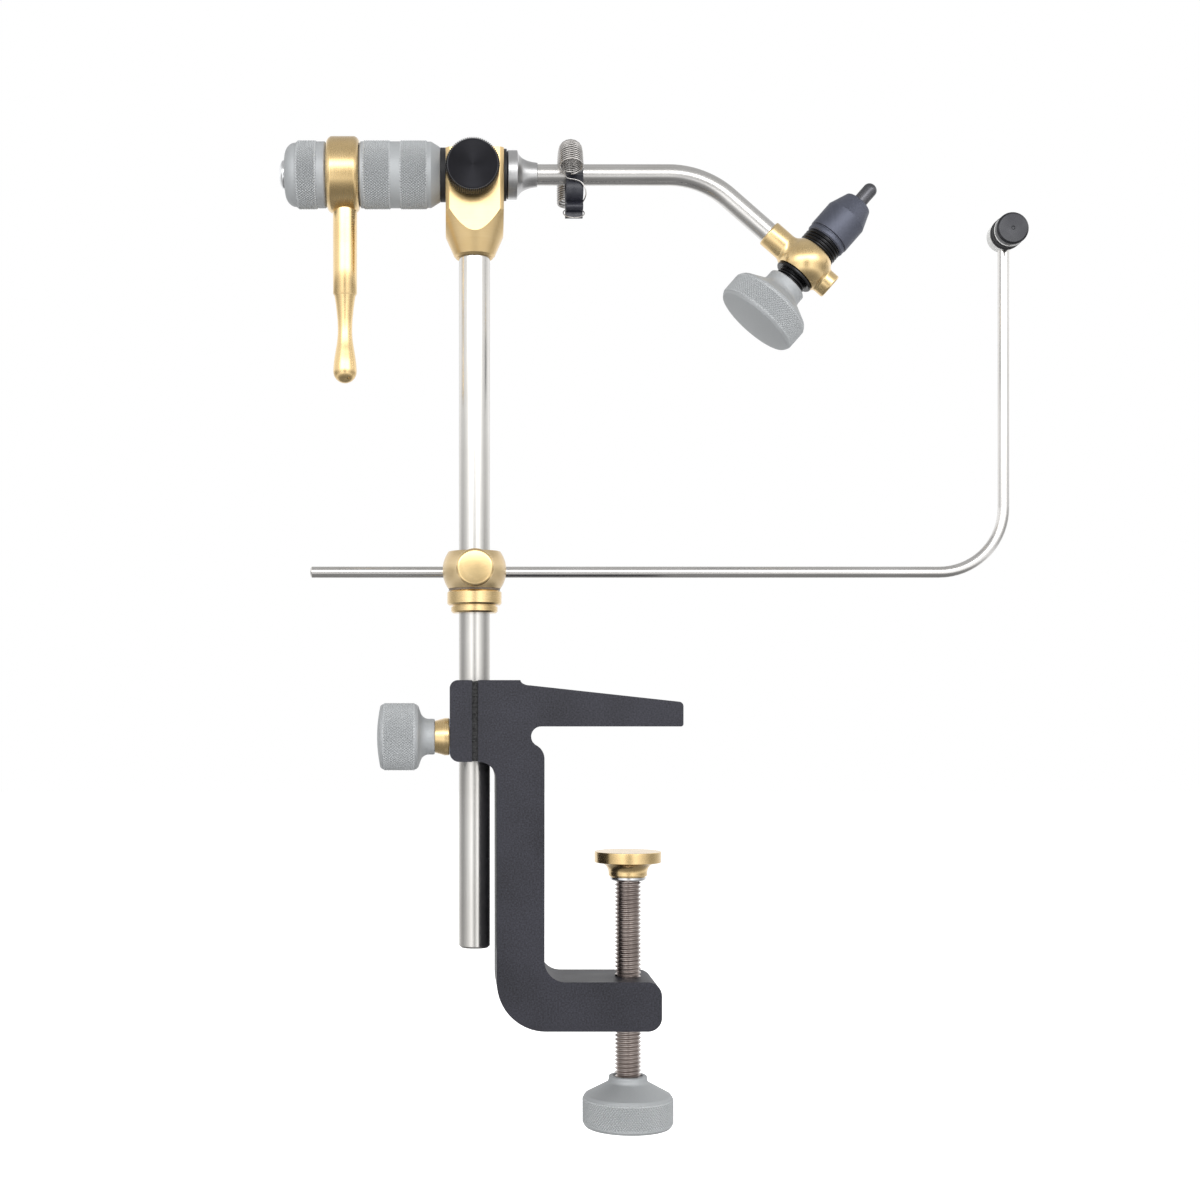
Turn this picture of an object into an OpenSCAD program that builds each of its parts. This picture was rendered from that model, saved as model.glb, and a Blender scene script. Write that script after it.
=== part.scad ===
/* [Clamp frame] */
// Depth of the frame, front to back
frame_depth = 27; // [26:0.5:34]
// Distance from the clamp screw's axis to the stem's axis
stem_off = 47.1; // [46:0.1:54]
// Height of the stem block above the table face
block_rise = 13.9; // [13:0.1:18]
// Depth of the stem block below the table face
block_drop = 10.6; // [9:0.1:12]
// Wall left of the stem's axis
block_wall = 7.6; // [7.3:0.1:11]
// Stem block's flat top to the right of the stem's axis
block_flat = 13.6; // [12:0.1:15]
// Reach of the upper jaw past the clamp screw's axis
jaw_reach = 15.3; // [11:0.1:20]
// Thickness of the upper jaw at its root
jaw_root = 12.3; // [10:0.1:12.6]
// Thickness of the upper jaw at its tip
jaw_tip = 7.3; // [5:0.1:9]
// Distance from the clamp screw's axis to the spine's inner face
throat_depth = 26.3; // [22:0.1:28]
// Width of the spine
spine_w = 14.3; // [11:0.1:15]
// Clear height between table face and lower arm
throat_h = 76.6; // [66:0.2:90]
// Height of the lower arm
arm_h = 14.8; // [12:0.2:18]
// Reach of the lower arm past the clamp screw's axis
arm_reach = 8.9; // [7:0.1:14]
// Width of the slit in the stem block
slit_w = 1.8; // [1:0.1:2.2]

/* [Clamp screw] */
// Diameter of the clamp screw
screw_d = 8; // [6:0.5:9]
// Gap from the table face to the pad, as set
pad_gap = 38.4; // [28:0.2:48]
// Diameter of the pad
pad_d = 20.4; // [17:0.2:26]
// Height of the pad's rim
pad_rim = 3.3; // [2:0.1:5]
// Height of the pad's neck
pad_neck = 4.2; // [3:0.1:6]
// Diameter of the pad's neck at its lower end
pad_neck_d = 11.8; // [11:0.1:14]
// Thickness of the washer under the pad
pad_washer_t = 1.2; // [0.6:0.1:1.6]
// Length of screw that shows between lower arm and knob
screw_tail = 15.7; // [12:0.1:20]
// Diameter of the clamp knob
clamp_knob_d = 27.9; // [22:0.1:34]
// Knurled width of the clamp knob
clamp_knurl_w = 8.0; // [6:0.1:12]

/* [Stem lock] */
// Diameter of the stem lock screw
lock_screw_d = 6; // [4:0.1:6]
// Distance of the lock screw behind the stem block's front face
lock_inset = 4.4; // [4.1:0.05:4.5]
// Distance of the lock screw below the table face
lock_below = 3.1; // [1:0.1:5]
// Length of the conical washer
lock_washer_len = 4.4; // [3:0.1:6]
// Diameter of the lock knob
lock_knob_d = 20.4; // [16:0.1:24]
// Knurled width of the lock knob
lock_knurl_w = 10.2; // [7:0.1:13]

/* [Stem] */
// Diameter of the stem
stem_d = 9.525; // [8.5:0.005:9.8]
// Length of the stem
stem_len = 228.4; // [210:0.2:260]
// Stem below the table face
stem_below = 67.8; // [45:0.2:80]
// Depth of the stem's socket in the head
stem_socket = 17.3; // [13:0.1:18]

/* [Head] */
// Size of the head across its flats
head_flats = 17.6; // [16.4:0.1:20]
// Diameter of the bar that the head is turned from
head_d = 23.3; // [22.4:0.1:26]
// Height of the rotary axis above the head's lower end
axis_rise = 25.6; // [25:0.1:29]
// Height of the head above the rotary axis
head_top = 6.0; // [5.6:0.1:9]
// Height of the head's tapered neck
neck_h = 12.8; // [10:0.1:15]
// Diameter of the neck's lower end
neck_d = 12.5; // [12:0.1:14]
// Outer diameter of the bushings
bushing_d = 9.0; // [8:0.1:9.4]
// Length of each bushing
bushing_len = 5.0; // [4:0.1:5]
// Diameter of the drag knob
drag_knob_d = 16.2; // [13:0.1:18]
// Thickness of the drag knob
drag_knob_t = 6.0; // [4:0.1:9]
// Diameter of the drag screw
drag_screw_d = 5; // [4:0.1:5]
// Distance of the drag knob left of the stem's axis
drag_left = 0.7; // [0:0.1:0.8]
// Distance of the drag knob below the rotary axis
drag_below = 1.2; // [0:0.1:1.6]

/* [Rotary shaft] */
// Diameter of the rotary shaft
shaft_d = 6.35; // [5.5:0.05:6.6]
// Distance from the stem's axis to the bend
bend_off = 70.0; // [62:0.5:84]
// Bend of the shaft, in degrees
bend_angle = 41.25; // [30:0.25:50]
// Radius of the bend
bend_r = 28; // [20:1:36]
// Distance from the bend to the middle of the jaw block
jaw_off = 41.7; // [36:0.1:52]
// Diameter of the shaft flange
flange_d = 14.4; // [12:0.1:17]
// Width of the flange's rim
flange_rim = 2.8; // [2:0.1:4]
// Length of the flange's trumpet
flange_flare = 6.5; // [4:0.1:9]
// Diameter of the right thrust washer
washer_right_d = 15.4; // [12:0.1:17]
// Thickness of the right thrust washer
washer_right_t = 0.95; // [0.6:0.05:1.5]
// Diameter of the left thrust washer
washer_left_d = 16.1; // [12:0.1:17]
// Thickness of the left thrust washer
washer_left_t = 1.6; // [0.8:0.1:2.2]

/* [Grip and crank] */
// Diameter over the knurls of the grip
grip_d = 20.4; // [17:0.1:24]
// Depth of the grip's plain bands below its knurls
band_drop = 0.35; // [0.2:0.05:0.5]
// Length of the grip sleeve
sleeve_len = 24.7; // [22:0.1:32]
// Width of each knurled band on the sleeve
knurl_w = 8.4; // [6:0.1:9]
// Width of the groove between the knurled bands
groove_w = 2.8; // [1.5:0.1:4]
// Length of the cone beside the head
cone_len = 2.8; // [1.5:0.1:4]
// Diameter of the crank ring
ring_d = 22.8; // [20.6:0.1:27]
// Width of the crank ring
ring_w = 9.8; // [8.4:0.1:12]
// Length of the end cap
cap_len = 12.7; // [10:0.1:16]
// Diameter of the crank handle
handle_d = 7.4; // [6:0.1:8]
// Length of the handle's straight part
handle_straight = 26.0; // [20:0.5:32]
// Length of the handle's waisted part
handle_waist = 22.2; // [18:0.1:28]
// Diameter of the handle's waist
waist_d = 4.4; // [3.6:0.1:5.6]
// Diameter of the handle's bulb
bulb_d = 7.2; // [6:0.1:9]
// Diameter of the end screw's head
end_screw_d = 8.8; // [7:0.1:10]
// Height of the end screw's head
end_screw_h = 3.0; // [2:0.1:4]

/* [Jaws] */
// Diameter of the jaw block's ball
ball_d = 16; // [15.2:0.1:18]
// Diameter of the collar that takes the shaft
collar_d = 8.2; // [7.8:0.1:8.6]
// Length from the ball's middle to the collar's end
collar_end = 14.8; // [13.6:0.1:18]
// Diameter of the nub
nub_d = 7.8; // [6:0.1:8.6]
// Length from the ball's middle to the nub's end
nub_end = 10.6; // [9.8:0.1:13]
// Distance from the ball's middle to its upper flat
flat_up = 4.9; // [4.4:0.1:5.2]
// Distance from the ball's middle to its lower flat
flat_down = 4.4; // [4.4:0.1:5.2]
// Diameter of the barrel's shank
barrel_d = 10.1; // [9:0.1:10.6]
// Diameter of the barrel's head
barrel_head_d = 12.5; // [11.4:0.1:12.8]
// Length of barrel that shows above the ball
barrel_show = 4.2; // [3:0.1:6]
// Diameter of the lock ring
lock_ring_d = 12.8; // [11.6:0.1:14]
// Thickness of the lock ring
lock_ring_t = 1.0; // [0.7:0.1:1.6]
// Length of barrel that shows below the lock ring
thread_show = 2.5; // [1.5:0.1:4]
// Diameter of the nose sleeve
nose_d = 13.4; // [13.2:0.1:15]
// Length of the sleeve's straight part
nose_straight = 10.0; // [9:0.1:13]
// Length of the sleeve's cone
nose_cone = 6.0; // [4:0.1:8]
// Diameter of the sleeve's nose
nose_tip_d = 8.8; // [7:0.1:10]
// Diameter of the jaws
jaws_d = 4.4; // [3.6:0.1:5]
// Length of jaws that shows past the sleeve
jaws_show = 7.1; // [5:0.1:9]
// Width of the saw cut in the jaws
jaws_slit = 0.4; // [0.2:0.05:0.6]
// Diameter of the draw bar
draw_d = 4; // [3:0.1:4]
// Diameter of the jaw knob
jaw_knob_d = 26.9; // [22:0.1:32]
// Knurled width of the jaw knob
jaw_knurl_w = 7.5; // [6:0.1:11]

/* [Material clip] */
// Distance from the stem's axis to the clip's middle
clip_off = 30.5; // [27:0.1:32]
// Width of the clip's strip
strip_w = 5.3; // [4:0.1:7]
// Thickness of the strip
strip_t = 0.7; // [0.5:0.05:0.75]
// Length of the strip's tails below the shaft's axis
strip_tail = 13.2; // [11:0.1:16]
// Diameter of the spring's wire
wire_d = 0.42; // [0.34:0.01:0.45]
// Outer diameter of the spring
spring_d = 6.8; // [6:0.1:6.8]
// Radius of the loop that the spring makes round the shaft
spring_loop_r = 7.45; // [7.45:0.05:8.4]
// Turns of the spring
spring_turns = 20; // [8:1:20]
// Sweep of the spring round the shaft, in degrees
spring_sweep = 232; // [226:1:236]
// Distance of the spring's middle left of the strip's middle
spring_left = 1.2; // [0:0.1:1.6]

/* [Cradle] */
// Gap from the stem block's top to the collar, as set
collar_gap = 20.8; // [15:0.1:30]
// Diameter of the stop collar
stop_d = 16.7; // [15:0.1:19]
// Height of the collar's band
stop_band = 4.4; // [3:0.1:6]
// Height of the collar's lip
stop_lip = 2.4; // [1.6:0.1:3]
// Diameter of the collar's lip
stop_lip_d = 14.3; // [12.4:0.1:15]
// Thickness of the washer above the collar
cradle_washer_t = 0.6; // [0.4:0.1:1]
// Diameter of the cradle body
cradle_d = 19.6; // [18.8:0.1:23]
// Height of the cradle body
cradle_h = 11.3; // [9:0.1:13]
// Diameter of the thumb screw's head
thumb_d = 11.4; // [9:0.1:14]
// Thickness of the thumb screw's head
thumb_t = 3.0; // [2:0.1:5]
// Diameter of the thumb screw's shank
thumb_shank_d = 5; // [4:0.1:5]
// Diameter of the cradle rod
rod_d = 3.5; // [3:0.05:3.6]
// Distance of the rod behind the stem's axis
rod_back = 7.0; // [6.9:0.05:7.2]
// Reach of the rod to the left of the stem's axis
rod_left = 50.8; // [40:0.2:70]
// Reach of the rod's upright to the right of the stem's axis
rod_right = 164.6; // [156:0.2:185]
// Radius of the rod's bend
rod_bend_r = 20; // [12:1:30]
// Height of the cradle head above the rod
rod_up = 104.5; // [80:0.5:120]
// Diameter of the cradle head's hub
hub_d = 9.4; // [8:0.1:12]
// Thickness of the hub
hub_t = 4.2; // [4:0.1:6]
// Diameter of the rubber ring
tyre_d = 10; // [9:0.1:13]
// Thickness of the rubber ring
tyre_t = 4.1; // [3:0.1:6]
// Diameter of the clear ring
spacer_d = 9.8; // [8:0.1:12]
// Thickness of the clear ring
spacer_t = 0.8; // [0.5:0.1:1.5]
// Diameter of the front cap
cap_d = 9.8; // [8:0.1:12]
// Thickness of the front cap
cap_t = 2.6; // [2:0.1:4]

/* [Hidden] */

// Facets of a full round
$fn = 48;
// Overrun of every cut past the faces it goes through
over = 1;
// Gap between pieces that are fixed to each other
seat = 0.02;
// Radial gap of a shaft or screw that turns or slides in its bore
fit = 0.05;
// Gap between faces that turn past each other
run = 0.1;
// Points on a quarter of a drawn arc
arc_steps = 8;

// Colours
anodised = [0.27, 0.27, 0.30];
brass = [0.84, 0.71, 0.44];
grey_metal = [0.68, 0.70, 0.71];
steel = [0.78, 0.77, 0.75];
bright_steel = [0.88, 0.89, 0.90];
dark_steel = [0.45, 0.40, 0.37];
black = [0.12, 0.12, 0.14];
slate = [0.31, 0.33, 0.37];
clear = [0.86, 0.86, 0.84];
bronze = [0.70, 0.52, 0.30];

// Edge rounds and chamfers of the frame
block_top_r = 2.5;
block_low_r = 2.8;
jaw_tip_r = 1.4;
jaw_low_r = 0.8;
jaw_step = 3.1;
notch_r = 3.0;
notch_blend_r = 4.6;
spine_fillet_r = 5.5;
throat_corner_r = 6.3;
arm_corner_r = 4.2;
heel_r = 14.7;
mouth_bevel = 0.9;

// Knob shape
knob_bevel = 0.9;
knob_neck_bevel = 0.6;
knob_neck_len = 1.3;
knob_dome = 1.0;
clamp_neck_d = 10.6;
clamp_shoulder_drop = 6.7;
lock_neck_d = 10.9;
lock_shoulder_drop = 5.3;
jaw_neck_d = 12.7;
jaw_shoulder_drop = 7.1;
knob_wall = 3.2;

// Small sizes of single pieces
lock_screw_grip = 17;
lock_washer_small_d = 9.6;
lock_washer_big_d = 11.3;
pad_washer_d = 11;
pad_floor = 2.6;
stem_chamfer = 0.6;
stem_gap = 0.3;
neck_round = 0.6;
neck_mouth = 0.8;
grub_d = 4;
grub_len = 4;
grub_low = 7;
drag_stand = 0.5;
drag_bevel = 0.5;
drag_grip = 3.4;
drag_plug_len = 3.0;
shaft_flange_lip = 0.4;
ring_round = 1.2;
ring_gap = 0.15;
handle_tenon_d = 4;
handle_tenon_len = 4.5;
handle_spot = 1.4;
cap_knurl_w = 6.2;
cap_lip_w = 2.8;
cap_dome_w = 3.4;
cap_nose_d = 11.6;
cap_wall = 2.2;
end_shank_d = 4;
end_shank_len = 9;
end_screw_edge = 0.7;
ball_blend_r = 3.0;
nub_blend_r = 1.2;
collar_round = 0.5;
rod_stop = 1.6;
thread_length = 9.0;
nose_ring_w = 1.5;
nose_ring_d = 13.0;
nose_groove_w = 0.5;
nose_groove_d = 12.4;
nose_mouth = 0.6;
jaws_round = 1.9;
jaws_slit_len = 15;
draw_reach = 7.0;
knob_blind = 3.0;
strip_play = 0.06;
strip_throat = 2.6;
strip_hug_front = 100;
strip_hug_back = 152;
strip_foot = 4.6;
strip_bulge = 1.1;
spring_seat = 0.12;
spring_turn_rings = 8;
spring_sides = 6;
groove_depth = 0.5;
lip_round = 0.5;
thumb_stand = 0.35;
thumb_round = 0.7;
thumb_spot_d = 7;
thumb_gap = 0.2;
rod_chamfer = 0.4;
rod_seat_in = 2.7;
hub_edge = 0.3;
cap_bevel = 0.5;
spigot_d = 3;
spigot_floor = 0.6;
joint_gap = 0.04;
bend_lap = 0.3;
bend_swell = 0.01;

// Places worked out from the sizes above
half = frame_depth / 2;
stem_x = -stem_off;
stem_r = stem_d / 2;
stem_bore_r = stem_r + fit;
stem_low_z = -stem_below;
stem_top_z = stem_low_z + stem_len;
head_low_z = stem_top_z + stem_gap - stem_socket;
axis_z = head_low_z + axis_rise;
head_top_z = axis_z + head_top;
head_half = head_flats / 2;
neck_top_z = head_low_z + neck_h;
head_left_x = stem_x - head_half;
head_right_x = stem_x + head_half;
shaft_r = shaft_d / 2;
shaft_bore_r = shaft_r + seat;
drag_x = stem_x - drag_left;
drag_z = axis_z - drag_below;
plug_tip_y = -shaft_r - fit;
drag_back_y = -head_half - drag_stand;

lock_z = -lock_below;
lock_y = -half + lock_inset;
block_left_x = stem_x - block_wall;
lock_washer_end_x = block_left_x - joint_gap - lock_washer_len;
lock_knob_x = lock_washer_end_x - joint_gap;

spine_right_x = -throat_depth;
spine_left_x = spine_right_x - spine_w;
arm_top_z = -throat_h;
arm_low_z = arm_top_z - arm_h;
pad_top_z = -pad_gap;
pad_low_z = pad_top_z - pad_rim - pad_neck;
pad_washer_low_z = pad_low_z - joint_gap - pad_washer_t;
screw_top_z = pad_top_z - pad_floor - joint_gap;
knob_top_z = arm_low_z - screw_tail;

washer_left_x = head_left_x - joint_gap - washer_left_t;
sleeve_right_x = washer_left_x - joint_gap;
sleeve_left_x = sleeve_right_x - sleeve_len;
ring_right_x = sleeve_left_x - ring_gap;
ring_left_x = ring_right_x - ring_w;
ring_mid_x = (ring_left_x + ring_right_x) / 2;
cap_right_x = ring_left_x - ring_gap;
cap_left_x = cap_right_x - cap_len;
shaft_left_x = cap_left_x + cap_wall + seat;
washer_right_x = head_right_x + joint_gap;
flange_x = washer_right_x + washer_right_t + joint_gap;
bend_x = stem_x + bend_off;
bend_run = bend_r * tan(bend_angle / 2);
jaw_x = bend_x + jaw_off * cos(bend_angle);
jaw_z = axis_z - jaw_off * sin(bend_angle);
clip_x = stem_x + clip_off;

barrel_r = barrel_d / 2;
nose_low = flat_up + barrel_show;
nose_high = nose_low + nose_straight;
nose_end = nose_high + nose_cone;
barrel_low = -flat_down - lock_ring_t - thread_show;
jaws_low = nose_low - draw_reach;
draw_low = barrel_low - jaw_shoulder_drop - jaw_knurl_w / 2;

collar_low_z = block_rise + collar_gap;
collar_top_z = collar_low_z + stop_lip + stop_band;
cradle_low_z = collar_top_z + cradle_washer_t + 2 * joint_gap;
cradle_z = cradle_low_z + cradle_h / 2;
cradle_ball_r = cradle_d / 2;
rod_r = rod_d / 2;
rod_end_x = stem_x + rod_right;
rod_start_x = stem_x - rod_left;
hub_z = cradle_z + rod_up;
hub_r = hub_d / 2;
hub_back_y = rod_back + hub_t / 2;
hub_front_y = rod_back - hub_t / 2;
tyre_front_y = hub_front_y - joint_gap - tyre_t;
spacer_front_y = tyre_front_y - joint_gap - spacer_t;
cap_back_y = spacer_front_y - joint_gap;

// Points on an arc about a centre, from angle a to angle b
function arc(cx, cy, r, a, b, n = arc_steps) =
    [for (i = [0 : n]) [cx + r * cos(a + (b - a) * i / n), cy + r * sin(a + (b - a) * i / n)]];

// Revolves a profile of [along, radius] points about the X axis
module turn_x() {
    rotate([0, 90, 0]) rotate_extrude() mirror([1, 0]) rotate(90) children();
}

// Cylinder along X, from x0 to x1
module rod_x(x0, x1, r) {
    translate([x0, 0, 0]) rotate([0, 90, 0]) cylinder(h = x1 - x0, r = r);
}

// Cylinder along Y, from y0 to y1
module rod_y(y0, y1, r) {
    translate([0, y1, 0]) rotate([90, 0, 0]) cylinder(h = y1 - y0, r = r);
}

// Cylinder along Z, from z0 to z1
module rod_z(z0, z1, r) {
    translate([0, 0, z0]) cylinder(h = z1 - z0, r = r);
}

// Revolves a profile of [radius, height] points about the Z axis
module turn_z(points) {
    rotate_extrude() polygon(points);
}

// Ring with chamfered or plain ends, from z0 to z1
module ring_z(z0, z1, r_out, r_in, edge = 0) {
    difference() {
        turn_z([
            [0, z0], [r_out - edge, z0], [r_out, z0 + edge],
            [r_out, z1 - edge], [r_out - edge, z1], [0, z1]
        ]);
        rod_z(z0 - over, z1 + over, r_in);
    }
}

// Lays a piece drawn along Z along the X axis instead, Z towards -X
module lay_left() {
    rotate([0, -90, 0]) children();
}

// Puts a piece drawn about the Z axis on the stem's axis
module on_stem() {
    translate([stem_x, 0, 0]) children();
}

// Puts a piece drawn about the X axis on the rotary axis
module on_axis() {
    translate([0, 0, axis_z]) children();
}

// Puts a piece drawn in the jaw's own frame on the bent shaft: X along the shaft, Z along the jaws
module on_jaw() {
    translate([jaw_x, 0, jaw_z]) rotate([0, bend_angle, 0]) children();
}

// Knurled knob along Z, its neck's face at z = 0 and its end face below
module knob(d, neck_d, drop, knurl_w, screw_r, depth) {
    r = d / 2;
    neck_r = neck_d / 2;
    shoulder_r = r - knob_bevel - knob_neck_bevel;
    flare_r = min(shoulder_r - neck_r, drop - knob_neck_len - knob_neck_bevel - knob_bevel);
    flare_top = -drop + knob_bevel + flare_r;
    knurl_low = -drop - knurl_w;
    difference() {
        turn_z(concat(
            [[0, 0], [neck_r - knob_neck_bevel, 0], [neck_r, -knob_neck_bevel]],
            arc(neck_r + flare_r, flare_top, flare_r, 180, 270),
            [
                [shoulder_r, flare_top - flare_r], [r - knob_bevel, -drop + knob_bevel],
                [r, -drop], [r, knurl_low], [r - knob_bevel, knurl_low - knob_bevel]
            ],
            [for (i = [arc_steps - 1 : -1 : 0])
                [
                    (r - knob_bevel) * i / arc_steps,
                    knurl_low - knob_bevel - knob_dome * (1 - pow(i / arc_steps, 2))
                ]]
        ));
        rod_z(-depth, over, screw_r);
        translate([0, 0, -mouth_bevel])
            cylinder(h = mouth_bevel + over, r1 = screw_r, r2 = screw_r + mouth_bevel + over);
    }
}

// Clamp frame: C-shaped plate with the split stem block

// Points of a corner at p of radius r, between the edges that come from a and go to b
function bend_points(a, p, b, r) =
    r == 0 ? [p] :
    let (
        u = unit(a - p), v = unit(b - p),
        theta = acos(u * v),
        reach = r / tan(theta / 2),
        centre = p + unit(u + v) * r / sin(theta / 2),
        from = p + u * reach - centre,
        turn = cross([u[0], u[1]], [v[0], v[1]]) < 0 ? 180 - theta : theta - 180,
        start = atan2(from[1], from[0])
    )
    [for (i = [0 : 2 * arc_steps])
        let (t = start + turn * i / (2 * arc_steps)) centre + r * [cos(t), sin(t)]];

// Outline through corners [x, z, radius], each corner rounded
function rounded(corners) =
    let (n = len(corners))
    [for (i = [0 : n - 1])
        let (a = corners[(i + n - 1) % n], p = corners[i], b = corners[(i + 1) % n])
        each bend_points([a[0], a[1]], [p[0], p[1]], [b[0], b[1]], p[2])];

// Corners of the frame's outline, with the relief notch where the table's edge meets the spine
function frame_corners() =
    let (
        step_x = stem_x + block_flat,
        notch_x = spine_right_x - notch_r / 3,
        blend_x = spine_right_x - notch_blend_r,
        blend_z = -notch_r - sqrt(pow(notch_r + notch_blend_r, 2) - pow(notch_x - blend_x, 2)),
        blend_a = atan2(blend_z + notch_r, blend_x - notch_x) + 360
    )
    concat(
        [[block_left_x, -block_drop, block_low_r], [block_left_x, block_rise, block_top_r]],
        [for (i = [0 : arc_steps])
            let (a = 90 * i / arc_steps)
            [step_x + jaw_step * (1 - cos(a)), block_rise - (block_rise - jaw_root) * sin(a), 0]],
        [[jaw_reach, jaw_tip, jaw_tip_r], [jaw_reach, 0, jaw_low_r]],
        [for (p = arc(notch_x, -notch_r, notch_r, 90, blend_a, 2 * arc_steps)) [p[0], p[1], 0]],
        [for (i = [1 : arc_steps])
            let (a = (blend_a - 180) * (1 - i / arc_steps))
            [blend_x + notch_blend_r * cos(a), blend_z + notch_blend_r * sin(a), 0]],
        [
            [spine_right_x, arm_top_z, throat_corner_r], [arm_reach, arm_top_z, arm_corner_r],
            [arm_reach, arm_low_z, arm_corner_r], [spine_left_x, arm_low_z, heel_r],
            [spine_left_x, -block_drop, spine_fillet_r]
        ]
    );

module frame_outline() {
    polygon(rounded(frame_corners()));
}

module clamp_frame() {
    color(anodised) difference() {
        translate([0, half, 0]) rotate([90, 0, 0]) linear_extrude(frame_depth) frame_outline();
        on_stem() {
            rod_z(-block_drop - spine_fillet_r - over, block_rise + over, stem_bore_r);
            translate([-slit_w / 2, -half - over, -block_drop - over])
                cube([slit_w, half + over, block_drop + block_rise + 2 * over]);
        }
        translate([0, lock_y, lock_z]) {
            rod_x(block_left_x - over, stem_x + lock_screw_grip - block_wall + run, lock_screw_d / 2 + fit);
        }
        rod_z(arm_low_z - over, arm_top_z + over, screw_d / 2 + fit);
    }
}

// Stem lock: screw, knob and conical washer in front of the stem

module stem_lock_screw() {
    color(dark_steel) translate([0, lock_y, lock_z])
        rod_x(lock_knob_x - lock_shoulder_drop - lock_knurl_w / 2,
            stem_x + lock_screw_grip - block_wall - run, lock_screw_d / 2);
}

module stem_lock_knob() {
    color(grey_metal) translate([lock_knob_x, lock_y, lock_z]) rotate([0, 90, 0])
        knob(lock_knob_d, lock_neck_d, lock_shoulder_drop, lock_knurl_w,
            lock_screw_d / 2 + seat, lock_shoulder_drop + lock_knurl_w / 2 + seat);
}

module stem_lock_washer() {
    small_r = lock_washer_small_d / 2;
    big_r = lock_washer_big_d / 2;
    color(brass) translate([block_left_x - joint_gap, lock_y, lock_z]) lay_left() difference() {
        turn_z([
            [0, 0], [big_r - knob_neck_bevel / 2, 0], [big_r, knob_neck_bevel / 2],
            [big_r, lock_washer_len / 3], [small_r, lock_washer_len], [0, lock_washer_len]
        ]);
        rod_z(-over, lock_washer_len + over, lock_screw_d / 2 + fit);
    }
}

// Clamp screw with its knob, pad and washer

module clamp_screw() {
    r = screw_d / 2;
    low_z = knob_top_z - clamp_shoulder_drop - clamp_knurl_w / 2;
    color(dark_steel) turn_z([
        [0, low_z], [r, low_z], [r, screw_top_z - mouth_bevel],
        [r - mouth_bevel, screw_top_z], [0, screw_top_z]
    ]);
}

module clamp_knob() {
    color(grey_metal) translate([0, 0, knob_top_z])
        knob(clamp_knob_d, clamp_neck_d, clamp_shoulder_drop, clamp_knurl_w,
            screw_d / 2 + seat, clamp_shoulder_drop + clamp_knurl_w / 2 + seat);
}

module clamp_pad() {
    r = pad_d / 2;
    neck_r = pad_neck_d / 2;
    rim_z = pad_top_z - pad_rim;
    flare_r = min(r - neck_r - knob_bevel, pad_neck - knob_bevel);
    color(brass) difference() {
        turn_z(concat(
            [[0, pad_top_z], [r - lip_round / 2, pad_top_z], [r, pad_top_z - lip_round / 2],
                [r, rim_z + lip_round / 2], [r - lip_round / 2, rim_z]],
            arc(neck_r + flare_r, rim_z - flare_r, flare_r, 90, 180),
            [[neck_r, pad_low_z], [0, pad_low_z]]
        ));
        rod_z(pad_low_z - over, screw_top_z + joint_gap, screw_d / 2 + fit);
    }
}

module pad_washer() {
    color(bright_steel)
        ring_z(pad_washer_low_z, pad_low_z - joint_gap, pad_washer_d / 2, screw_d / 2 + fit, pad_washer_t / 4);
}

// Stem

module stem_post() {
    color(steel) on_stem() turn_z([
        [0, stem_low_z], [stem_r - stem_chamfer, stem_low_z], [stem_r, stem_low_z + stem_chamfer],
        [stem_r, stem_top_z - stem_chamfer], [stem_r - stem_chamfer, stem_top_z], [0, stem_top_z]
    ]);
}

// Head: turned bar with four flats, a tapered neck below and the rotary bore across

module head_block() {
    bar_r = head_d / 2;
    low_r = neck_d / 2;
    color(brass) difference() {
        on_stem() intersection() {
            turn_z([
                [0, head_low_z], [low_r - neck_round, head_low_z], [low_r, head_low_z + neck_round],
                [bar_r, neck_top_z], [bar_r, head_top_z], [0, head_top_z]
            ]);
            translate([-head_half, -head_half, head_low_z - over])
                cube([head_flats, head_flats, head_top_z - head_low_z + 2 * over]);
        }
        on_stem() {
            rod_z(head_low_z - over, stem_top_z + stem_gap, stem_bore_r);
            translate([0, 0, head_low_z - over]) cylinder(
                h = over + neck_mouth,
                r1 = stem_bore_r + neck_mouth + over, r2 = stem_bore_r);
            translate([0, 0, head_low_z + grub_low]) rod_y(0, bar_r + over, grub_d / 2 + seat);
        }
        on_axis() rod_x(head_left_x - over, head_right_x + over, bushing_d / 2 + seat);
        translate([drag_x, 0, drag_z]) rod_y(-bar_r - over, 0, drag_screw_d / 2 + fit);
    }
}

module head_bushing(x0) {
    color(bronze) on_axis() difference() {
        rod_x(x0, x0 + bushing_len, bushing_d / 2);
        rod_x(x0 - over, x0 + bushing_len + over, shaft_r + fit);
    }
}

module head_bushing_left() {
    head_bushing(head_left_x);
}

module head_bushing_right() {
    head_bushing(head_right_x - bushing_len);
}

module head_grub() {
    color(dark_steel) on_stem() translate([0, 0, head_low_z + grub_low])
        rod_y(stem_r + fit, stem_r + fit + min(grub_len, head_half - stem_r - fit - seat), grub_d / 2);
}

// Drag knob with its screw and the plug that rubs on the shaft

module drag_plug() {
    color(clear) translate([drag_x, 0, drag_z])
        rod_y(plug_tip_y - drag_plug_len, plug_tip_y, drag_screw_d / 2 - fit);
}

module drag_screw() {
    color(dark_steel) translate([drag_x, 0, drag_z])
        rod_y(drag_back_y - drag_grip, plug_tip_y - drag_plug_len - joint_gap, drag_screw_d / 2);
}

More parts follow.
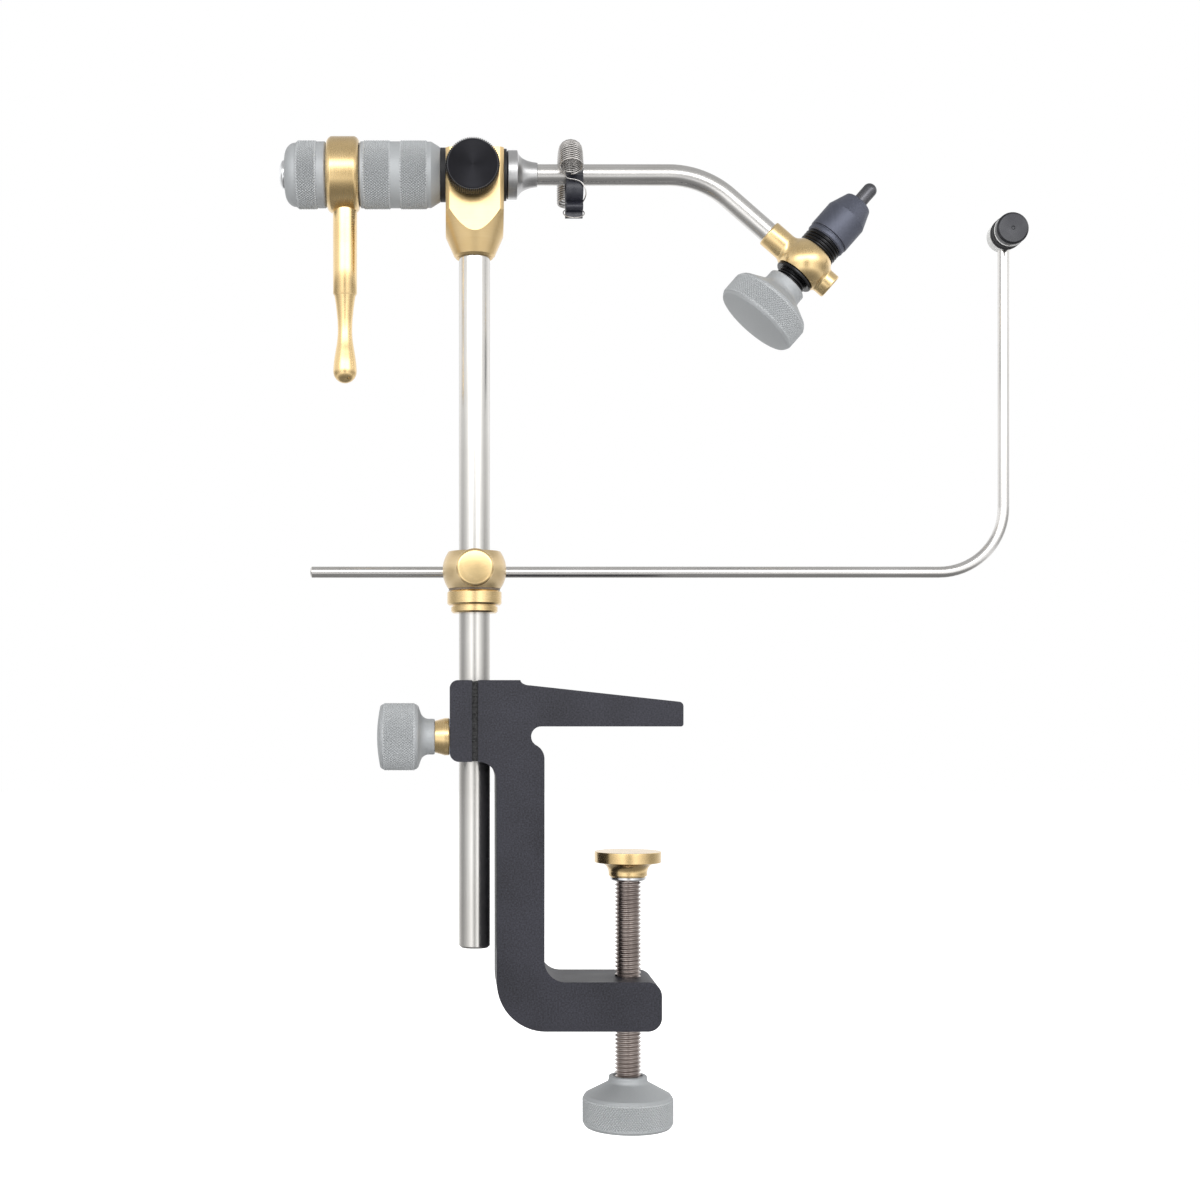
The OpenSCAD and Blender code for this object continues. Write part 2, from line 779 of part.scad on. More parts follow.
module drag_knob() {
    r = drag_knob_d / 2;
    color(black) translate([drag_x, drag_back_y, drag_z]) rotate([90, 0, 0]) difference() {
        turn_z([
            [0, 0], [r - drag_bevel, 0], [r, drag_bevel], [r, drag_knob_t - drag_bevel],
            [r - drag_bevel, drag_knob_t], [0, drag_knob_t]
        ]);
        rod_z(-over, drag_grip + seat, drag_screw_d / 2 + seat);
    }
}

// Rotary shaft: straight, bent and straight again; the bend is a hair thicker than the bar

module rotary_shaft() {
    bend_start_x = bend_x - bend_run;
    arm_end = jaw_off - barrel_r - rod_stop;
    color(steel) on_axis() union() {
        difference() {
            rod_x(shaft_left_x, bend_start_x + bend_lap, shaft_r);
            rod_x(shaft_left_x - over, cap_left_x + end_shank_len + seat, end_shank_d / 2 + seat);
        }
        translate([bend_start_x, 0, -bend_r]) rotate([90, 0, 0]) rotate([0, 0, 90 - bend_angle])
            rotate_extrude(angle = bend_angle) translate([bend_r, 0]) circle(shaft_r + bend_swell);
        translate([bend_x, 0, 0]) rotate([0, bend_angle, 0])
            rod_x(bend_run - bend_lap, arm_end, shaft_r);
    }
}

module shaft_flange() {
    r = flange_d / 2;
    rim_x = flange_x + flange_rim;
    end_x = rim_x + flange_flare;
    lip_r = shaft_r + shaft_flange_lip;
    rise = r - 1.2 * ring_round - lip_r;
    color(bright_steel) on_axis() difference() {
        turn_x() polygon(concat(
            [[flange_x, 0], [flange_x, r], [rim_x, r]],
            [for (i = [0 : arc_steps])
                let (t = i / arc_steps)
                [rim_x + flange_flare * t, lip_r + rise * pow(1 - t, 2.4)]],
            [[end_x, 0]]
        ));
        rod_x(flange_x - over, end_x + over, shaft_bore_r);
    }
}

module thrust_washer_left() {
    color(black) on_axis() difference() {
        rod_x(washer_left_x, washer_left_x + washer_left_t, washer_left_d / 2);
        rod_x(washer_left_x - over, head_left_x, shaft_bore_r);
    }
}

module thrust_washer_right() {
    color(black) on_axis() difference() {
        rod_x(washer_right_x, washer_right_x + washer_right_t, washer_right_d / 2);
        rod_x(head_right_x, flange_x + over, shaft_bore_r);
    }
}

// Grip sleeve with two knurled bands, and the cone beside the head

module grip_sleeve() {
    r = grip_d / 2;
    band_r = r - band_drop;
    cone_r = washer_left_d / 2;
    edge = band_drop;
    cone_x = sleeve_right_x - cone_len;
    plain = (sleeve_len - cone_len - 2 * knurl_w - groove_w) / 2;
    k0 = sleeve_left_x + plain;
    k1 = k0 + knurl_w;
    k2 = k1 + groove_w;
    k3 = k2 + knurl_w;
    color(grey_metal) on_axis() difference() {
        turn_x() polygon([
            [sleeve_left_x, 0], [sleeve_left_x, band_r - edge], [sleeve_left_x + edge, band_r],
            [k0, band_r], [k0 + edge, r], [k1 - edge, r], [k1, band_r],
            [k2, band_r], [k2 + edge, r], [k3 - edge, r], [k3, band_r],
            [cone_x, band_r], [sleeve_right_x, cone_r], [sleeve_right_x, 0]
        ]);
        rod_x(sleeve_left_x - over, sleeve_right_x + over, shaft_bore_r);
    }
}

module crank_ring() {
    r = ring_d / 2;
    e = ring_round;
    color(brass) on_axis() difference() {
        turn_x() polygon(concat(
            [[ring_left_x, 0]],
            arc(ring_left_x + e, r - e, e, 180, 90),
            arc(ring_right_x - e, r - e, e, 90, 0),
            [[ring_right_x, 0]]
        ));
        rod_x(ring_left_x - over, ring_right_x + over, shaft_bore_r);
        translate([ring_mid_x, 0, 0]) {
            rod_z(-r - over, -r + handle_spot, handle_d / 2 + seat);
            rod_z(-r - over, -r + handle_spot + handle_tenon_len + seat, handle_tenon_d / 2 + seat);
        }
    }
}

module crank_handle() {
    top = -ring_d / 2 + handle_spot - seat;
    shoulder = -ring_d / 2 - handle_straight + knob_neck_bevel;
    end_z = shoulder - knob_neck_bevel - handle_waist - bulb_d / 2;
    r = handle_d / 2;
    bulb_r = bulb_d / 2;
    bulb_z = end_z + bulb_r;
    sink = r - waist_d / 2;
    swell = bulb_r - waist_d / 2;
    waist_share = 0.5;
    steps = 2 * arc_steps;
    color(brass) on_axis() translate([ring_mid_x, 0, 0]) turn_z(concat(
        [[0, top + handle_tenon_len], [handle_tenon_d / 2, top + handle_tenon_len],
            [handle_tenon_d / 2, top], [r, top], [r, shoulder]],
        [for (i = [1 : steps - 1])
            let (t = i / steps, h = shoulder + (bulb_z - shoulder) * t)
            t < waist_share
                ? [r - knob_neck_bevel / 2 - (sink - knob_neck_bevel / 2) * sin(90 * t / waist_share), h]
                : [bulb_r - swell * (1 + cos(180 * (t - waist_share) / (1 - waist_share))) / 2, h]],
        arc(0, bulb_z, bulb_r, 0, -90)
    ));
}

module end_cap() {
    r = grip_d / 2;
    band_r = r - band_drop;
    edge = band_drop;
    knurl_x = cap_right_x - cap_lip_w;
    dome_x = cap_left_x + cap_dome_w;
    nose_r = cap_nose_d / 2;
    color(grey_metal) on_axis() difference() {
        turn_x() polygon(concat(
            [[cap_right_x, 0], [cap_right_x, band_r - edge], [cap_right_x - edge, band_r], [knurl_x, band_r],
                [knurl_x - edge, r], [knurl_x - cap_knurl_w, r], [dome_x, band_r - edge]],
            [for (i = [1 : arc_steps])
                let (a = 90 * i / arc_steps)
                [dome_x - (dome_x - cap_left_x) * sin(a),
                    nose_r + (band_r - edge - nose_r) * cos(a)]],
            [[cap_left_x, 0]]
        ));
        rod_x(cap_left_x + cap_wall, cap_right_x + over, shaft_bore_r);
        rod_x(cap_left_x - over, cap_right_x, end_shank_d / 2 + seat);
    }
}

module end_screw() {
    r = end_screw_d / 2;
    x = cap_left_x - seat;
    color(bright_steel) on_axis() turn_x() polygon(concat(
        [[x + end_shank_len, 0], [x + end_shank_len, end_shank_d / 2], [x, end_shank_d / 2],
            [x, r], [x - end_screw_edge, r]],
        [for (i = [1 : arc_steps])
            let (a = 90 * i / arc_steps)
            [x - end_screw_edge - (end_screw_h - end_screw_edge) * sin(a), r * cos(a)]]
    ));
}

// Jaw block: turned ball with a collar for the shaft, a nub, two flats and the chuck bore

module jaw_block() {
    r = ball_d / 2;
    c = collar_d / 2;
    n = nub_d / 2;
    blend_x = sqrt(pow(r + ball_blend_r, 2) - pow(c + ball_blend_r, 2));
    blend_a = atan2(c + ball_blend_r, -blend_x);
    nub_x = sqrt(pow(r + nub_blend_r, 2) - pow(n + nub_blend_r, 2));
    nub_a = atan2(n + nub_blend_r, nub_x);
    color(brass) on_jaw() difference() {
        turn_x() polygon(concat(
            [[-collar_end, 0], [-collar_end, c - collar_round], [-collar_end + collar_round, c]],
            arc(-blend_x, c + ball_blend_r, ball_blend_r, 270, 180 + blend_a + 0),
            arc(0, 0, r, blend_a, nub_a),
            arc(nub_x, n + nub_blend_r, nub_blend_r, 180 + nub_a, 270),
            [[nub_end - collar_round, n], [nub_end, n - collar_round], [nub_end, 0]]
        ));
        rod_z(flat_up, r + over, r);
        rod_z(-r - over, -flat_down, r);
        rod_z(-r, r, barrel_r + seat);
        rod_x(-collar_end - over, -barrel_r - rod_stop + seat, shaft_bore_r);
    }
}

module chuck_barrel() {
    head_r = barrel_head_d / 2;
    color(black) on_jaw() difference() {
        turn_z([
            [0, barrel_low], [barrel_r, barrel_low], [barrel_r, flat_up + joint_gap],
            [head_r, flat_up + joint_gap], [head_r, nose_low - joint_gap],
            [barrel_r, nose_low - joint_gap], [barrel_r, nose_low + thread_length - 2 * seat],
            [0, nose_low + thread_length - 2 * seat]
        ]);
        rod_z(barrel_low - over, nose_low + thread_length + over, jaws_d / 2 + fit);
    }
}

module barrel_lock_ring() {
    color(black) on_jaw()
        ring_z(-flat_down - joint_gap - lock_ring_t, -flat_down - joint_gap,
            lock_ring_d / 2, barrel_r + seat, lock_ring_t / 4);
}

module nose_sleeve() {
    r = nose_d / 2;
    ring_r = nose_ring_d / 2;
    groove_z = nose_low + nose_ring_w;
    color(slate) on_jaw() difference() {
        turn_z([
            [0, nose_low], [ring_r - collar_round, nose_low], [ring_r, nose_low + collar_round],
            [ring_r, groove_z], [nose_groove_d / 2, groove_z],
            [nose_groove_d / 2, groove_z + nose_groove_w], [r, groove_z + nose_groove_w],
            [r, nose_high], [nose_tip_d / 2 + collar_round, nose_end - collar_round],
            [nose_tip_d / 2 - collar_round, nose_end], [0, nose_end]
        ]);
        rod_z(nose_low - over, nose_low + thread_length, barrel_r + seat);
        rod_z(nose_low, nose_end + over, jaws_d / 2 + fit);
        translate([0, 0, nose_end - nose_mouth]) cylinder(
            h = nose_mouth + over, r1 = jaws_d / 2 + fit, r2 = jaws_d / 2 + fit + nose_mouth + over);
    }
}

module collet_jaws() {
    r = jaws_d / 2;
    tip = nose_end + jaws_show;
    e = min(jaws_round, r);
    color(slate) on_jaw() difference() {
        turn_z(concat(
            [[0, jaws_low], [r, jaws_low]],
            arc(r - e, tip - e, e, 0, 90),
            [[0, tip]]
        ));
        translate([-r - over, -jaws_slit / 2, tip - jaws_slit_len])
            cube([2 * r + 2 * over, jaws_slit, jaws_slit_len + over]);
        rod_z(jaws_low - over, jaws_low + draw_reach / 2 + seat, draw_d / 2 - barrel_wall_cut() + seat);
    }
}

// The draw bar's spigot is thinner than the bar by this much
function barrel_wall_cut() = draw_d / 4;

module draw_bar() {
    color(dark_steel) on_jaw() {
        rod_z(draw_low, jaws_low - seat, draw_d / 2);
        rod_z(jaws_low - seat, jaws_low + draw_reach / 2, draw_d / 2 - barrel_wall_cut());
    }
}

module jaw_knob() {
    color(grey_metal) on_jaw() translate([0, 0, barrel_low - joint_gap])
        knob(jaw_knob_d, jaw_neck_d, jaw_shoulder_drop, jaw_knurl_w,
            draw_d / 2 + fit, jaw_shoulder_drop + jaw_knurl_w / 2 + knob_blind);
}

// Material clip: a strip folded over the shaft, and a spring wound round the shaft

// Middle line of the strip from its front foot, over the shaft, to its back foot: [y, z] points
function strip_line(side) =
    let (
        r = shaft_r + strip_play + strip_t / 2,
        hug = side < 0 ? strip_hug_front : strip_hug_back,
        waist = side < 0 ? strip_throat : strip_t / 2 + joint_gap
    )
    concat(
        [for (i = [0 : arc_steps]) let (a = 90 - hug * i / arc_steps) [side * r * cos(a), r * sin(a)]],
        [[side * (waist + strip_bulge), -shaft_r - strip_throat],
            [side * (strip_t / 2 + joint_gap + strip_bulge), -strip_tail + strip_foot],
            [side * (strip_t / 2 + joint_gap), -strip_tail + strip_foot / 2],
            [side * (strip_t / 2 + joint_gap + strip_bulge / 2), -strip_tail + strip_t / 2]]
    );

// Flat tube of the strip's thickness round a line of points
module strip_side(side) {
    points = strip_line(side);
    n = len(points);
    normals = [for (i = [0 : n - 1])
        let (a = points[max(i - 1, 0)], b = points[min(i + 1, n - 1)], d = b - a)
        [d[1], -d[0]] / norm(d)];
    polygon(concat(
        [for (i = [0 : n - 1]) points[i] + normals[i] * strip_t / 2],
        [for (i = [n - 1 : -1 : 0]) points[i] - normals[i] * strip_t / 2]
    ));
}

module clip_band() {
    color(black) on_axis() translate([clip_x - strip_w / 2, 0, 0])
        rotate([90, 0, 90]) linear_extrude(strip_w) {
            strip_side(1);
            strip_side(-1);
        }
}

// Spring: a helix whose own middle line is an arc round the shaft, from the front over the top
coil_r = (spring_d - wire_d) / 2;
spring_start = 4;
spring_rings = spring_turns * spring_turn_rings;

// Point of the wire's middle line at step i, in [x, y, z] about the shaft's axis
function coil_point(i) =
    let (
        a = spring_start + spring_sweep * i / spring_rings,
        b = 180 + 360 * i / spring_turn_rings,
        reach = spring_loop_r + coil_r * cos(b)
    )
    [coil_r * sin(b), -reach * cos(a), reach * sin(a)];

// The wire ends in straight stubs that point at the shaft's axis and stop at the strip
strip_face = shaft_r + strip_play + strip_t + spring_seat;
function radial(p, r) = [p[0], p[1] * r / norm([p[1], p[2]]), p[2] * r / norm([p[1], p[2]])];
coil_first = coil_point(0);
coil_last = coil_point(spring_rings);
spring_line = concat(
    [radial(coil_first, strip_face)],
    [for (i = [0 : spring_rings]) coil_point(i)],
    [radial(coil_last, strip_face)]
);

function unit(v) = v / norm(v);

// Side directions of the tube at each point, turned on from ring to ring without twist
function frames(line, i, side, out) =
    i == len(line) ? out :
    let (
        t = unit(line[min(i + 1, len(line) - 1)] - line[max(i - 1, 0)]),
        s = unit(side - t * (side * t))
    )
    frames(line, i + 1, s, concat(out, [[t, s]]));

spring_frames = frames(spring_line, 0, [1, 0, 0], []);

module tube(line, marks, r, sides) {
    n = len(line);
    points = [for (i = [0 : n - 1]) for (k = [0 : sides - 1])
        let (t = marks[i][0], s = marks[i][1], u = cross(t, s), a = 360 * k / sides)
        line[i] + r * (s * cos(a) + u * sin(a))];
    skin = [for (i = [0 : n - 2]) for (k = [0 : sides - 1])
        let (a = i * sides + k, b = i * sides + (k + 1) % sides)
        each [[a, a + sides, b], [b, a + sides, b + sides]]];
    low_cap = [for (k = [1 : sides - 2]) [0, k, k + 1]];
    high = (n - 1) * sides;
    high_cap = [for (k = [1 : sides - 2]) [high, high + k + 1, high + k]];
    polyhedron(points, concat(skin, low_cap, high_cap));
}

// Least gap between one curl and the next, wire face to wire face
spring_gap = min([for (i = [0 : spring_rings - spring_turn_rings])
    for (j = [i + spring_turn_rings - 2 : min(i + spring_turn_rings + 2, spring_rings)])
        norm(coil_point(i) - coil_point(j))]) - wire_d;
echo(spring_least_gap_mm = spring_gap);

module clip_spring() {
    color(bright_steel) on_axis() translate([clip_x - spring_left, 0, 0])
        tube(spring_line, spring_frames, wire_d / 2, spring_sides);
}

// Cradle arm: stop collar, washer, body, thumb screw, rod and head

module cradle_collar() {
    r = stop_d / 2;
    lip_r = stop_lip_d / 2;
    lip_top = collar_low_z + stop_lip;
    e = lip_round;
    color(brass) on_stem() difference() {
        turn_z(concat(
            [[0, collar_low_z], [lip_r - e, collar_low_z], [lip_r, collar_low_z + e],
                [lip_r, lip_top - groove_depth], [lip_r - groove_depth, lip_top - groove_depth],
                [lip_r - groove_depth, lip_top], [r - e, lip_top], [r, lip_top + e]],
            [[r, collar_top_z - e], [r - e, collar_top_z], [0, collar_top_z]]
        ));
        rod_z(collar_low_z - over, collar_top_z + over, stem_bore_r);
        translate([0, 0, collar_top_z - stop_band / 2]) rod_y(0, r + over, stop_band / 4 + seat);
    }
}

module collar_grub() {
    color(dark_steel) on_stem() translate([0, 0, collar_top_z - stop_band / 2])
        rod_y(stem_bore_r, stop_d / 2 - groove_depth, stop_band / 4);
}

module cradle_washer() {
    color(clear) on_stem() ring_z(
        collar_top_z + joint_gap, collar_top_z + joint_gap + cradle_washer_t,
        stop_d / 2 - groove_depth, stem_bore_r);
}

module cradle_body() {
    r = cradle_ball_r;
    color(brass) translate([stem_x, 0, cradle_z]) difference() {
        intersection() {
            sphere(r);
            rod_z(-cradle_h / 2, cradle_h / 2, r + over);
        }
        rod_z(-cradle_h, cradle_h, stem_bore_r);
        rod_y(-r - over, 0, thumb_shank_d / 2 + fit);
        rod_y(-r - over, -r + thumb_stand, thumb_spot_d / 2 + run);
        translate([0, rod_back, 0]) rod_x(-r - over, r + over, rod_r + fit);
    }
}

module cradle_thumb_screw() {
    r = thumb_d / 2;
    e = thumb_round;
    neck = thumb_stand;
    color(brass) translate([stem_x, -cradle_ball_r - thumb_stand, cradle_z]) rotate([90, 0, 0]) turn_z(concat(
        [[0, -cradle_ball_r - thumb_stand + stem_r + thumb_gap],
            [thumb_shank_d / 2, -cradle_ball_r - thumb_stand + stem_r + thumb_gap],
            [thumb_shank_d / 2, -neck - thumb_gap], [thumb_spot_d / 2, -neck - thumb_gap],
            [thumb_spot_d / 2, 0], [r - e, 0], [r, e]],
        arc(r - e, thumb_t - e, e, 0, 90),
        [[0, thumb_t]]
    ));
}

module cradle_rod() {
    up = hub_z - hub_r + rod_seat_in - cradle_z;
    c = rod_chamfer;
    corner_x = rod_end_x - rod_bend_r;
    color(steel) translate([0, rod_back, cradle_z]) {
        turn_x() polygon([
            [rod_start_x, 0], [rod_start_x, rod_r - c], [rod_start_x + c, rod_r],
            [corner_x, rod_r], [corner_x, 0]
        ]);
        translate([corner_x, 0, rod_bend_r]) rotate([90, 0, 0]) rotate([0, 0, -90])
            rotate_extrude(angle = 90) translate([rod_bend_r, 0]) circle(rod_r);
        translate([rod_end_x, 0, 0]) rod_z(rod_bend_r, up, rod_r);
    }
}

module cradle_hub() {
    color(clear) translate([rod_end_x, 0, hub_z]) difference() {
        translate([0, hub_front_y, 0]) rotate([-90, 0, 0])
            ring_z(0, hub_t, hub_r, spigot_d / 2 + seat, hub_edge);
        translate([0, rod_back, 0]) rod_z(-hub_r - over, -hub_r + rod_seat_in + seat, rod_r + seat);
    }
}

module cradle_tyre() {
    color(black) translate([rod_end_x, tyre_front_y, hub_z]) rotate([-90, 0, 0])
        ring_z(0, tyre_t, tyre_d / 2, spigot_d / 2 + seat, hub_edge);
}

module cradle_spacer() {
    color(clear) translate([rod_end_x, spacer_front_y, hub_z]) rotate([-90, 0, 0])
        ring_z(0, spacer_t, spacer_d / 2, spigot_d / 2 + seat, spacer_t / 4);
}

module cradle_cap() {
    r = cap_d / 2;
    color(black) translate([rod_end_x, cap_back_y, hub_z]) rotate([90, 0, 0]) turn_z([
        [0, cap_back_y - hub_back_y + spigot_floor], [spigot_d / 2, cap_back_y - hub_back_y + spigot_floor],
        [spigot_d / 2, 0], [r, 0], [r, cap_t - cap_bevel], [r - cap_bevel, cap_t], [0, cap_t]
    ]);
}

clamp_frame();
stem_lock_screw();
stem_lock_knob();
stem_lock_washer();
clamp_screw();
clamp_knob();
clamp_pad();
pad_washer();
stem_post();
head_block();
head_bushing_left();
head_bushing_right();
head_grub();
drag_screw();
drag_plug();
drag_knob();
rotary_shaft();
shaft_flange();
thrust_washer_left();
thrust_washer_right();
grip_sleeve();
crank_ring();
crank_handle();
end_cap();
end_screw();
jaw_block();
chuck_barrel();
barrel_lock_ring();
nose_sleeve();
collet_jaws();
draw_bar();
jaw_knob();
clip_band();
clip_spring();
cradle_collar();
collar_grub();
cradle_washer();
cradle_body();
cradle_thumb_screw();
cradle_rod();
cradle_hub();
cradle_tyre();
cradle_spacer();
cradle_cap();
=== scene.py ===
import math

import bmesh
import bpy
from mathutils import Matrix, Vector


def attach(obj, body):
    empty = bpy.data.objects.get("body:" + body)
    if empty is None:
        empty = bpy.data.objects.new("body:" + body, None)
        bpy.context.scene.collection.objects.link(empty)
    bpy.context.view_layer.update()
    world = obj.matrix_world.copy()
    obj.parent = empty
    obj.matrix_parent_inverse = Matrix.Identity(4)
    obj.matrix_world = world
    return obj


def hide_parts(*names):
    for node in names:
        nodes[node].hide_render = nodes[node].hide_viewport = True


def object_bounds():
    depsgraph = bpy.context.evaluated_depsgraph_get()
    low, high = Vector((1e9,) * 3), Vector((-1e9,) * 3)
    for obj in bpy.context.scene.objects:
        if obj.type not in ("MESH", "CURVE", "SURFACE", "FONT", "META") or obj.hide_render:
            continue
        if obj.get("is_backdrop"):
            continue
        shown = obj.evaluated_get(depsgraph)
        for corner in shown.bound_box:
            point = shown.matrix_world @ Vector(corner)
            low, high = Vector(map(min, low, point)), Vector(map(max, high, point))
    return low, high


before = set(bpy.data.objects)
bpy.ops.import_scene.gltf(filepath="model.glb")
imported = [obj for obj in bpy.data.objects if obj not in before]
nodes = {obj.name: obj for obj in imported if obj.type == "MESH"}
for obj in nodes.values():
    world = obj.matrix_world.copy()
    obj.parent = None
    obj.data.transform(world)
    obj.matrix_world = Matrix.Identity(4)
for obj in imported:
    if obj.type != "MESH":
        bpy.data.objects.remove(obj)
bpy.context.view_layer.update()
MM = 0.001

# Sizes, in mm, as in the solids
STEM_X = -47.1
AXIS_Z = 169.2
BEND = math.radians(41.25)
BEND_X = 22.9
JAW_OFF = 41.7
CLIP_X = -16.6
CRADLE_Z = 47.83
DRAG_X, DRAG_Y, DRAG_Z = STEM_X - 0.7, -9.3, AXIS_Z - 1.2
GAP = 0.04  # clearance between two faces
BALL = Vector((BEND_X + JAW_OFF * math.cos(BEND), 0.0, AXIS_Z - JAW_OFF * math.sin(BEND)))

HERE = Matrix.Identity(4)
AXIS = Matrix.Translation((0, 0, AXIS_Z))
JAW = Matrix.Translation(BALL) @ Matrix.Rotation(BEND, 4, "Y")
# Turn a profile drawn about Z so that its Z runs along +X or -Y
TO_X = Matrix.Rotation(math.radians(90), 4, "Y")
TO_FRONT = Matrix.Rotation(math.radians(90), 4, "X")


# Camera and light

PHOTO = 1200  # the photo's sides, in pixels
PIXEL = 0.307  # mm to a pixel in the plane y = 0
CENTRE = (450, 713)  # pixel that the camera's own axis meets
EYE = (-0.0546, -0.540, 0.00404)
SENSOR = 36


def camera():
    """The photo's camera: level, with the picture shifted to the vise."""
    data = bpy.data.cameras.new("camera")
    cam = bpy.data.objects.new("camera", data)
    bpy.context.collection.objects.link(cam)
    cam.location = EYE
    cam.rotation_euler = (math.radians(90), 0, 0)
    data.sensor_width = SENSOR
    data.lens = SENSOR * -EYE[1] / (PHOTO * PIXEL * MM)
    data.shift_x = (PHOTO / 2 - CENTRE[0]) / PHOTO
    data.shift_y = (CENTRE[1] - PHOTO / 2) / PHOTO
    data.clip_start = 0.01
    bpy.context.scene.camera = cam
    bpy.context.scene.view_settings.view_transform = "Standard"


def area(name, place, aim, w, h, power):
    """Rectangular lamp that looks at the point aim."""
    light = bpy.data.lights.new(name, "AREA")
    light.shape = "RECTANGLE"
    light.size, light.size_y = w, h
    light.energy = power
    o = bpy.data.objects.new(name, light)
    bpy.context.collection.objects.link(o)
    o.location = place
    o.rotation_euler = (Vector(aim) - Vector(place)).to_track_quat("-Z", "Y").to_euler()
    # What metal reflects is the tent below, not the lamps
    o.visible_glossy = False


camera()
area("key", (-0.35, -0.80, 0.45), (0, 0, 0.08), 0.70, 0.60, 4.0)
area("front", (0.25, -0.95, 0.10), (0, 0, 0.08), 0.80, 0.50, 3.2)
area("fill", (0.75, -0.45, 0.25), (0, 0, 0.05), 0.50, 0.60, 1.6)
area("top", (0, 0.05, 0.95), (0, 0, 0.05), 0.80, 0.60, 2.0)
area("back", (-0.1, 0.8, 0.5), (0, 0, 0.08), 0.9, 0.5, 1.5)


# The tent is a large ball that only reflections see. Its brightness goes by the turn from the
# front (left is negative) and by the lift, both in degrees.
TENT_R = 1.7
BY_TURN = (
    (-180, 1.0), (-130, 0.7), (-114, 0.45), (-96, 0.34), (-80, 0.45), (-62, 0.66), (-46, 0.92),
    (-32, 1.30), (-20, 1.50), (-12, 0.9), (-4, 0.45), (4, 0.45), (12, 1.1), (20, 1.50),
    (30, 1.15), (46, 0.8), (62, 0.55), (80, 0.30), (96, 0.40), (114, 0.55), (130, 0.75),
    (180, 1.0))
BY_LIFT = (
    (-90, 0.42), (-74, 0.26), (-62, 0.24), (-51, 0.27), (-41, 0.32), (-31, 0.52), (-22, 1.10),
    (-14, 0.8), (-2, 0.7), (6, 0.8), (14, 1.3), (28, 1.0), (40, 0.66), (52, 0.55), (64, 0.50),
    (76, 0.52), (90, 0.60))
TOP_LEVEL = 2.4  # full scale of the two tables' ramps
DARKEST = 0.15
HORIZON = 0.7  # the lift table's level at the horizon, where the turn table takes over
HORIZON_FADE = (28, 12)  # lifts from which the turn table has a part and has its full part
WINDOW = 2.6
WINDOW_TURN = (62, 34)  # turns from which the window has a part and has its full part
WINDOW_FOOT, WINDOW_HEAD = (11, 20), (36, 25)  # the same by lift
OPEN_TURN = 140  # the tent is open behind, past this turn and between these lifts
OPEN_LIFT = (-20, 35)


def tent_glow():
    """Emission of the tent: soft light and dark bands, and one bright window in front."""
    mat = bpy.data.materials.new("tent_wall")
    mat.use_nodes = True
    t = mat.node_tree
    t.nodes.clear()

    def put(value, socket):
        if isinstance(value, (int, float)):
            socket.default_value = value
        else:
            t.links.new(value, socket)

    def math_node(kind, a, b=0.0):
        n = t.nodes.new("ShaderNodeMath")
        n.operation = kind
        put(a, n.inputs[0])
        put(b, n.inputs[1])
        return n.outputs[0]

    def times(a, b):
        return math_node("MULTIPLY", a, b)

    def smooth(x, dark, light):
        n = t.nodes.new("ShaderNodeMapRange")
        n.interpolation_type = "SMOOTHSTEP"
        put(x, n.inputs["Value"])
        n.inputs["From Min"].default_value = min(dark, light)
        n.inputs["From Max"].default_value = max(dark, light)
        n.inputs["To Min"].default_value = 0.0 if dark < light else 1.0
        n.inputs["To Max"].default_value = 1.0 if dark < light else 0.0
        return n.outputs[0]

    def levels(x, span, table):
        n = t.nodes.new("ShaderNodeValToRGB")
        e = n.color_ramp.elements
        e[0].color = (table[0][1] / TOP_LEVEL,) * 3 + (1,)
        e[1].color = (table[-1][1] / TOP_LEVEL,) * 3 + (1,)
        for angle, level in table[1:-1]:
            e.new(angle / span + 0.5).color = (level / TOP_LEVEL,) * 3 + (1,)
        put(math_node("ADD", math_node("DIVIDE", x, span), 0.5), n.inputs[0])
        return times(n.outputs[0], TOP_LEVEL)

    coord = t.nodes.new("ShaderNodeTexCoord")
    split = t.nodes.new("ShaderNodeSeparateXYZ")
    t.links.new(coord.outputs["Object"], split.inputs[0])
    x, y, z = (split.outputs[k] for k in "XYZ")
    degrees = 180 / math.pi
    turn = times(math_node("ARCTAN2", x, times(y, -1.0)), degrees)
    lift = times(math_node("ARCSINE", math_node("DIVIDE", z, TENT_R)), degrees)
    near_level = smooth(math_node("ABSOLUTE", lift), *HORIZON_FADE)
    sides = times(math_node("SUBTRACT", levels(turn, 360, BY_TURN), HORIZON), near_level)
    window = times(smooth(math_node("ABSOLUTE", turn), *WINDOW_TURN),
                   times(smooth(lift, *WINDOW_FOOT), smooth(lift, *WINDOW_HEAD)))
    bands = math_node("ADD", levels(lift, 180, BY_LIFT), sides)
    total = math_node("ADD", bands, times(window, WINDOW))
    shine = t.nodes.new("ShaderNodeEmission")
    t.links.new(math_node("MAXIMUM", total, DARKEST), shine.inputs["Strength"])
    end = t.nodes.new("ShaderNodeOutputMaterial")
    t.links.new(shine.outputs[0], end.inputs["Surface"])
    return mat


